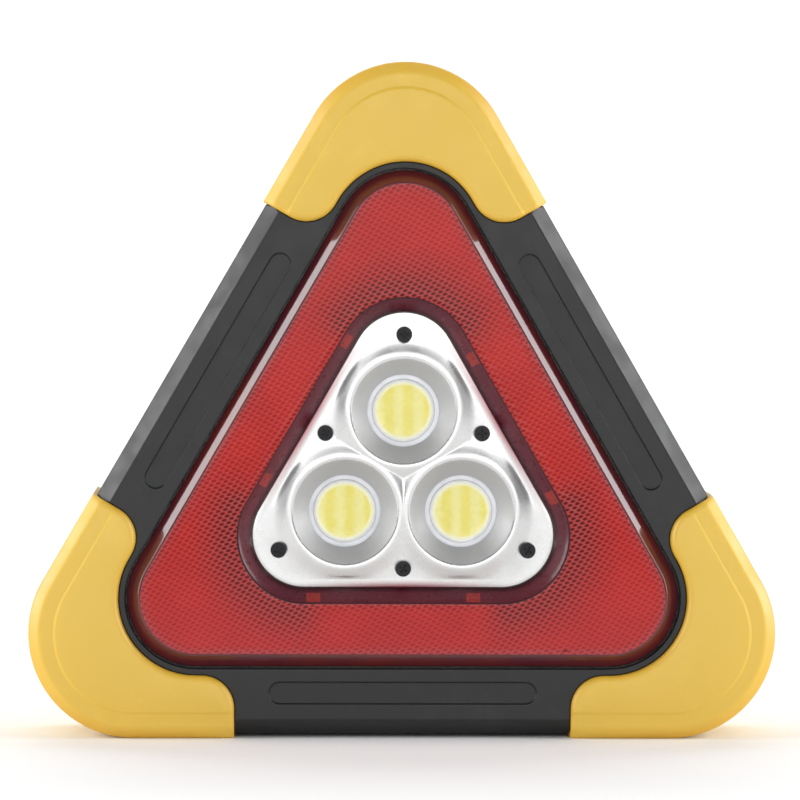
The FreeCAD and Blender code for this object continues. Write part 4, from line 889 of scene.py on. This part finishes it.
def flare_depth(radius):
    """The depth of the flare at some radius, between the stations of the cup's section."""
    for (first, start), (second, end) in zip(CUP_PROFILE[RIM_STATION:], CUP_PROFILE[RIM_STATION + 1:]):
        if radius <= second:
            return start + (end - start) * (radius - first) / (second - first)
    return CUP_PROFILE[-1][1]


def make_cup(mesh, turn):
    """A dish with a raised round rim. Returns the corners of its throat and of its flare's outer edge,
    and their angles from the outward direction."""
    middle = polar(LAMP_RING, turn)
    angles = [360 * step / CUP_STEPS for step in range(CUP_STEPS)]
    rows = []
    for station, (radius, depth) in enumerate(CUP_PROFILE):
        points, depths = [], []
        for angle in angles:
            reach = radius
            if station > FLARE_STATION:
                start = CUP_PROFILE[FLARE_STATION][0]
                span = (radius - start) / (CUP_PROFILE[-1][0] - start)
                reach = start + (cup_reach(angle) - start) * span
            points.append(middle + polar(reach, angle + turn))
            depths.append(flare_depth(reach) if station > FLARE_STATION else depth)
        rows.append(loop(mesh, points, depths))
    for place, (row, following) in enumerate(zip(rows, rows[1:])):
        strip(mesh, row, following, material=1 if place < RIM_STATION - 1 else 0)
    return rows[0], rows[-1], angles


def side_middle(point):
    """1 at the middle of a side of the triangle, fading to 0 at its corners."""
    direction = math.degrees(math.atan2(point.y, point.x))
    offset = min(abs(math.remainder(direction - side, 360)) for side in SIDE_TURNS)
    return max(0.0, 1.0 - (offset / RED_REFLECTION_REACH) ** 2)


def make_panel(materials):
    """The flat panel and its three cups, which meet along a three-armed valley."""
    mesh = bmesh.new()
    painted_red_reflection = mesh.verts.layers.float.new("painted_red_reflection")
    border = []
    for inset, depth, reflected_red in PANEL_EDGE:
        points = triangle(PANEL_SIDE - inset, PANEL_CORNER - inset)
        row = loop(mesh, points, depth)
        for corner, point in zip(row, points):
            corner[painted_red_reflection] = reflected_red * side_middle(point)
        border.append(row)
    for row, following in zip(border, border[1:]):
        strip(mesh, row, following)
    flat_edge, throats = [], []
    for turn in CORNER_TURNS:
        throat, flare, angles = make_cup(mesh, turn)
        throats.append(throat)
        free = [corner for corner, angle in zip(flare, angles)
                if neighbour_reach(angle) > edge_reach(angle) - 1e-6]
        start = next(place for place, angle in enumerate(angles) if angle > 180)
        flat_edge += [corner for corner in flare[start:] + flare[:start] if corner in free]
    for corner in flat_edge:
        corner.co.y = FRONT + PANEL_FRONT * MM
    fill(mesh, border[-1], flat_edge)
    cup_backs = []
    for turn, throat in zip(CORNER_TURNS, throats):
        rings = [throat]
        for radius, depth in CUP_BACK:
            points = [polar(LAMP_RING, turn) + polar(radius, 360 * step / CUP_STEPS + turn)
                      for step in range(CUP_STEPS)]
            rings.append(loop(mesh, points, depth))
        for ring, following in zip(rings, rings[1:]):
            strip(mesh, ring, following)
        cup_backs.append(rings[-1])
    fill(mesh, border[0], *cup_backs)
    piece("lamp_panel", mesh, materials, ["lamp_reflector"], sharp=40)


def turned(mesh, middle, profile, steps=72):
    """A round body: its section's radii and depths about a middle, closed where a radius is nought."""
    rows = []
    for radius, depth in profile:
        if radius == 0:
            rows.append([mesh.verts.new(at(middle, depth))] * steps)
        else:
            rows.append(loop(mesh, circle(middle, radius, steps), depth))
    for row, following in zip(rows, rows[1:]):
        strip(mesh, row, following)
    return rows


def make_lamp(name, turn, dam_material, gel_material):
    """A lamp's white dam ring and the low dome of phosphor gel inside it."""
    middle = polar(LAMP_RING, turn)
    dam = bmesh.new()
    turned(dam, middle, DAM_PROFILE)
    piece(f"lamp_dam_ring_{name}", dam, [dam_material], [f"lamp_dam_{name}"], sharp=50)
    gel = bmesh.new()
    rim = gel.verts.layers.float.new("rim")
    for (radius, _), row in zip(GEL_PROFILE, turned(gel, middle, GEL_PROFILE)):
        for corner in row:
            corner[rim] = limited((radius - GEL_RIM) / GEL_RIM_WIDTH)
    piece(f"lamp_gel_{name}", gel, [gel_material], [f"lamp_phosphor_{name}"], sharp=50)


# Camera, lights and backdrop

def make_camera():
    """The camera looks at the front from a little left of the middle and a little above."""
    azimuth, elevation, distance = math.radians(-2.0), math.radians(2.5), 1.05
    aim = Vector((-0.0006, 0.0, 0.0899))
    away = Vector((math.sin(azimuth) * math.cos(elevation), -math.cos(azimuth) * math.cos(elevation),
                   math.sin(elevation)))
    data = bpy.data.cameras.new("Camera")
    data.lens = 174.8
    data.sensor_width = 36.0
    camera = bpy.data.objects.new("Camera", data)
    bpy.context.scene.collection.objects.link(camera)
    camera.location = aim + away * distance
    roll = Matrix.Rotation(math.radians(0.3), 4, "Z")
    camera.rotation_euler = ((-away).to_track_quat("-Z", "Y").to_matrix().to_4x4() @ roll).to_euler()
    bpy.context.scene.camera = camera


def add_softbox(name, location, target, width, height, power):
    """A soft rectangular light that faces a target."""
    data = bpy.data.lights.new(name, "AREA")
    data.shape = "RECTANGLE"
    data.size, data.size_y = width, height
    data.energy = power
    lamp = bpy.data.objects.new(name, data)
    lamp.location = location
    lamp.rotation_euler = (Vector(target) - Vector(location)).to_track_quat("-Z", "Y").to_euler()
    bpy.context.scene.collection.objects.link(lamp)


def make_lights():
    """Two tall softboxes at the sides, a broad one in front, one for the wall and a pale surrounding."""
    middle = (0, 0, CENTRE)
    for name, side in (("SoftboxLeft", -1), ("SoftboxRight", 1)):
        add_softbox(name, (side * 0.95, -0.12, 0.43), (0, -0.1, 0.43), 0.5, 0.8, 8.6)
    add_softbox("SoftboxFront", (0, -1.75, 0.5), middle, 1.9, 1.0, 10.5)
    add_softbox("SoftboxWall", (0, 1.0, 1.9), (0, 1.9, 0.4), 2.6, 0.6, 30.0)
    world = bpy.data.worlds.new("Studio")
    world.use_nodes = True
    background = world.node_tree.nodes["Background"]
    background.inputs["Color"].default_value = (0.98, 0.99, 1.0, 1)
    background.inputs["Strength"].default_value = 0.27
    bpy.context.scene.world = world
    bpy.context.scene.view_settings.view_transform = "Standard"


def make_backdrop():
    """A pale floor that curves up into a wall behind the object."""
    mesh = bmesh.new()
    half_width, front, start, radius, height = 4.0, -4.0, 1.2, 0.8, 4.0
    curve_steps = 16
    floor = cad_box[0].z
    outline = [(front, floor), (start, floor)]
    for step in range(1, curve_steps + 1):
        angle = math.radians(90 * step / curve_steps)
        outline.append((start + radius * math.sin(angle), floor + radius * (1 - math.cos(angle))))
    outline.append((start + radius, floor + height))
    rows = [[mesh.verts.new((side * half_width, y, z)) for side in (-1, 1)] for y, z in outline]
    for row, following in zip(rows, rows[1:]):
        strip(mesh, row, following, closed=False)
    data = bpy.data.meshes.new("backdrop")
    mesh.to_mesh(data)
    mesh.free()
    data.shade_smooth()
    shader = Shader("backdrop_paper", (0.93, 0.93, 0.93), 0.9)
    shader.bump(shader.noise(300, 3), 0.0001, 0.1)
    data.materials.append(shader.material)
    sheet = bpy.data.objects.new("backdrop", data)
    bpy.context.scene.collection.objects.link(sheet)


make_camera()
make_lights()
make_backdrop()
MATERIALS = make_materials()
for softened_node, softened_body, softened_width in SOFTENED:
    soften_edges(softened_node, softened_body, softened_width, MATERIALS)
finish_frame(MATERIALS)
for corner_name in BUMPER_TURNS:
    make_bumper(corner_name, MATERIALS["yellow_abs"])
make_lens([MATERIALS["red_lens"], red_rim(), red_well(), red_catch()])
make_panel([MATERIALS["silver_panel"], silver_coating("satin_dish", (0.5, 0.505, 0.51), 0.5, 0.4)])
for lamp_name, lamp_turn in zip(LAMPS, CORNER_TURNS):
    make_lamp(lamp_name, lamp_turn, MATERIALS["white_silicone"], MATERIALS["phosphor"])

bpy.context.view_layer.update()
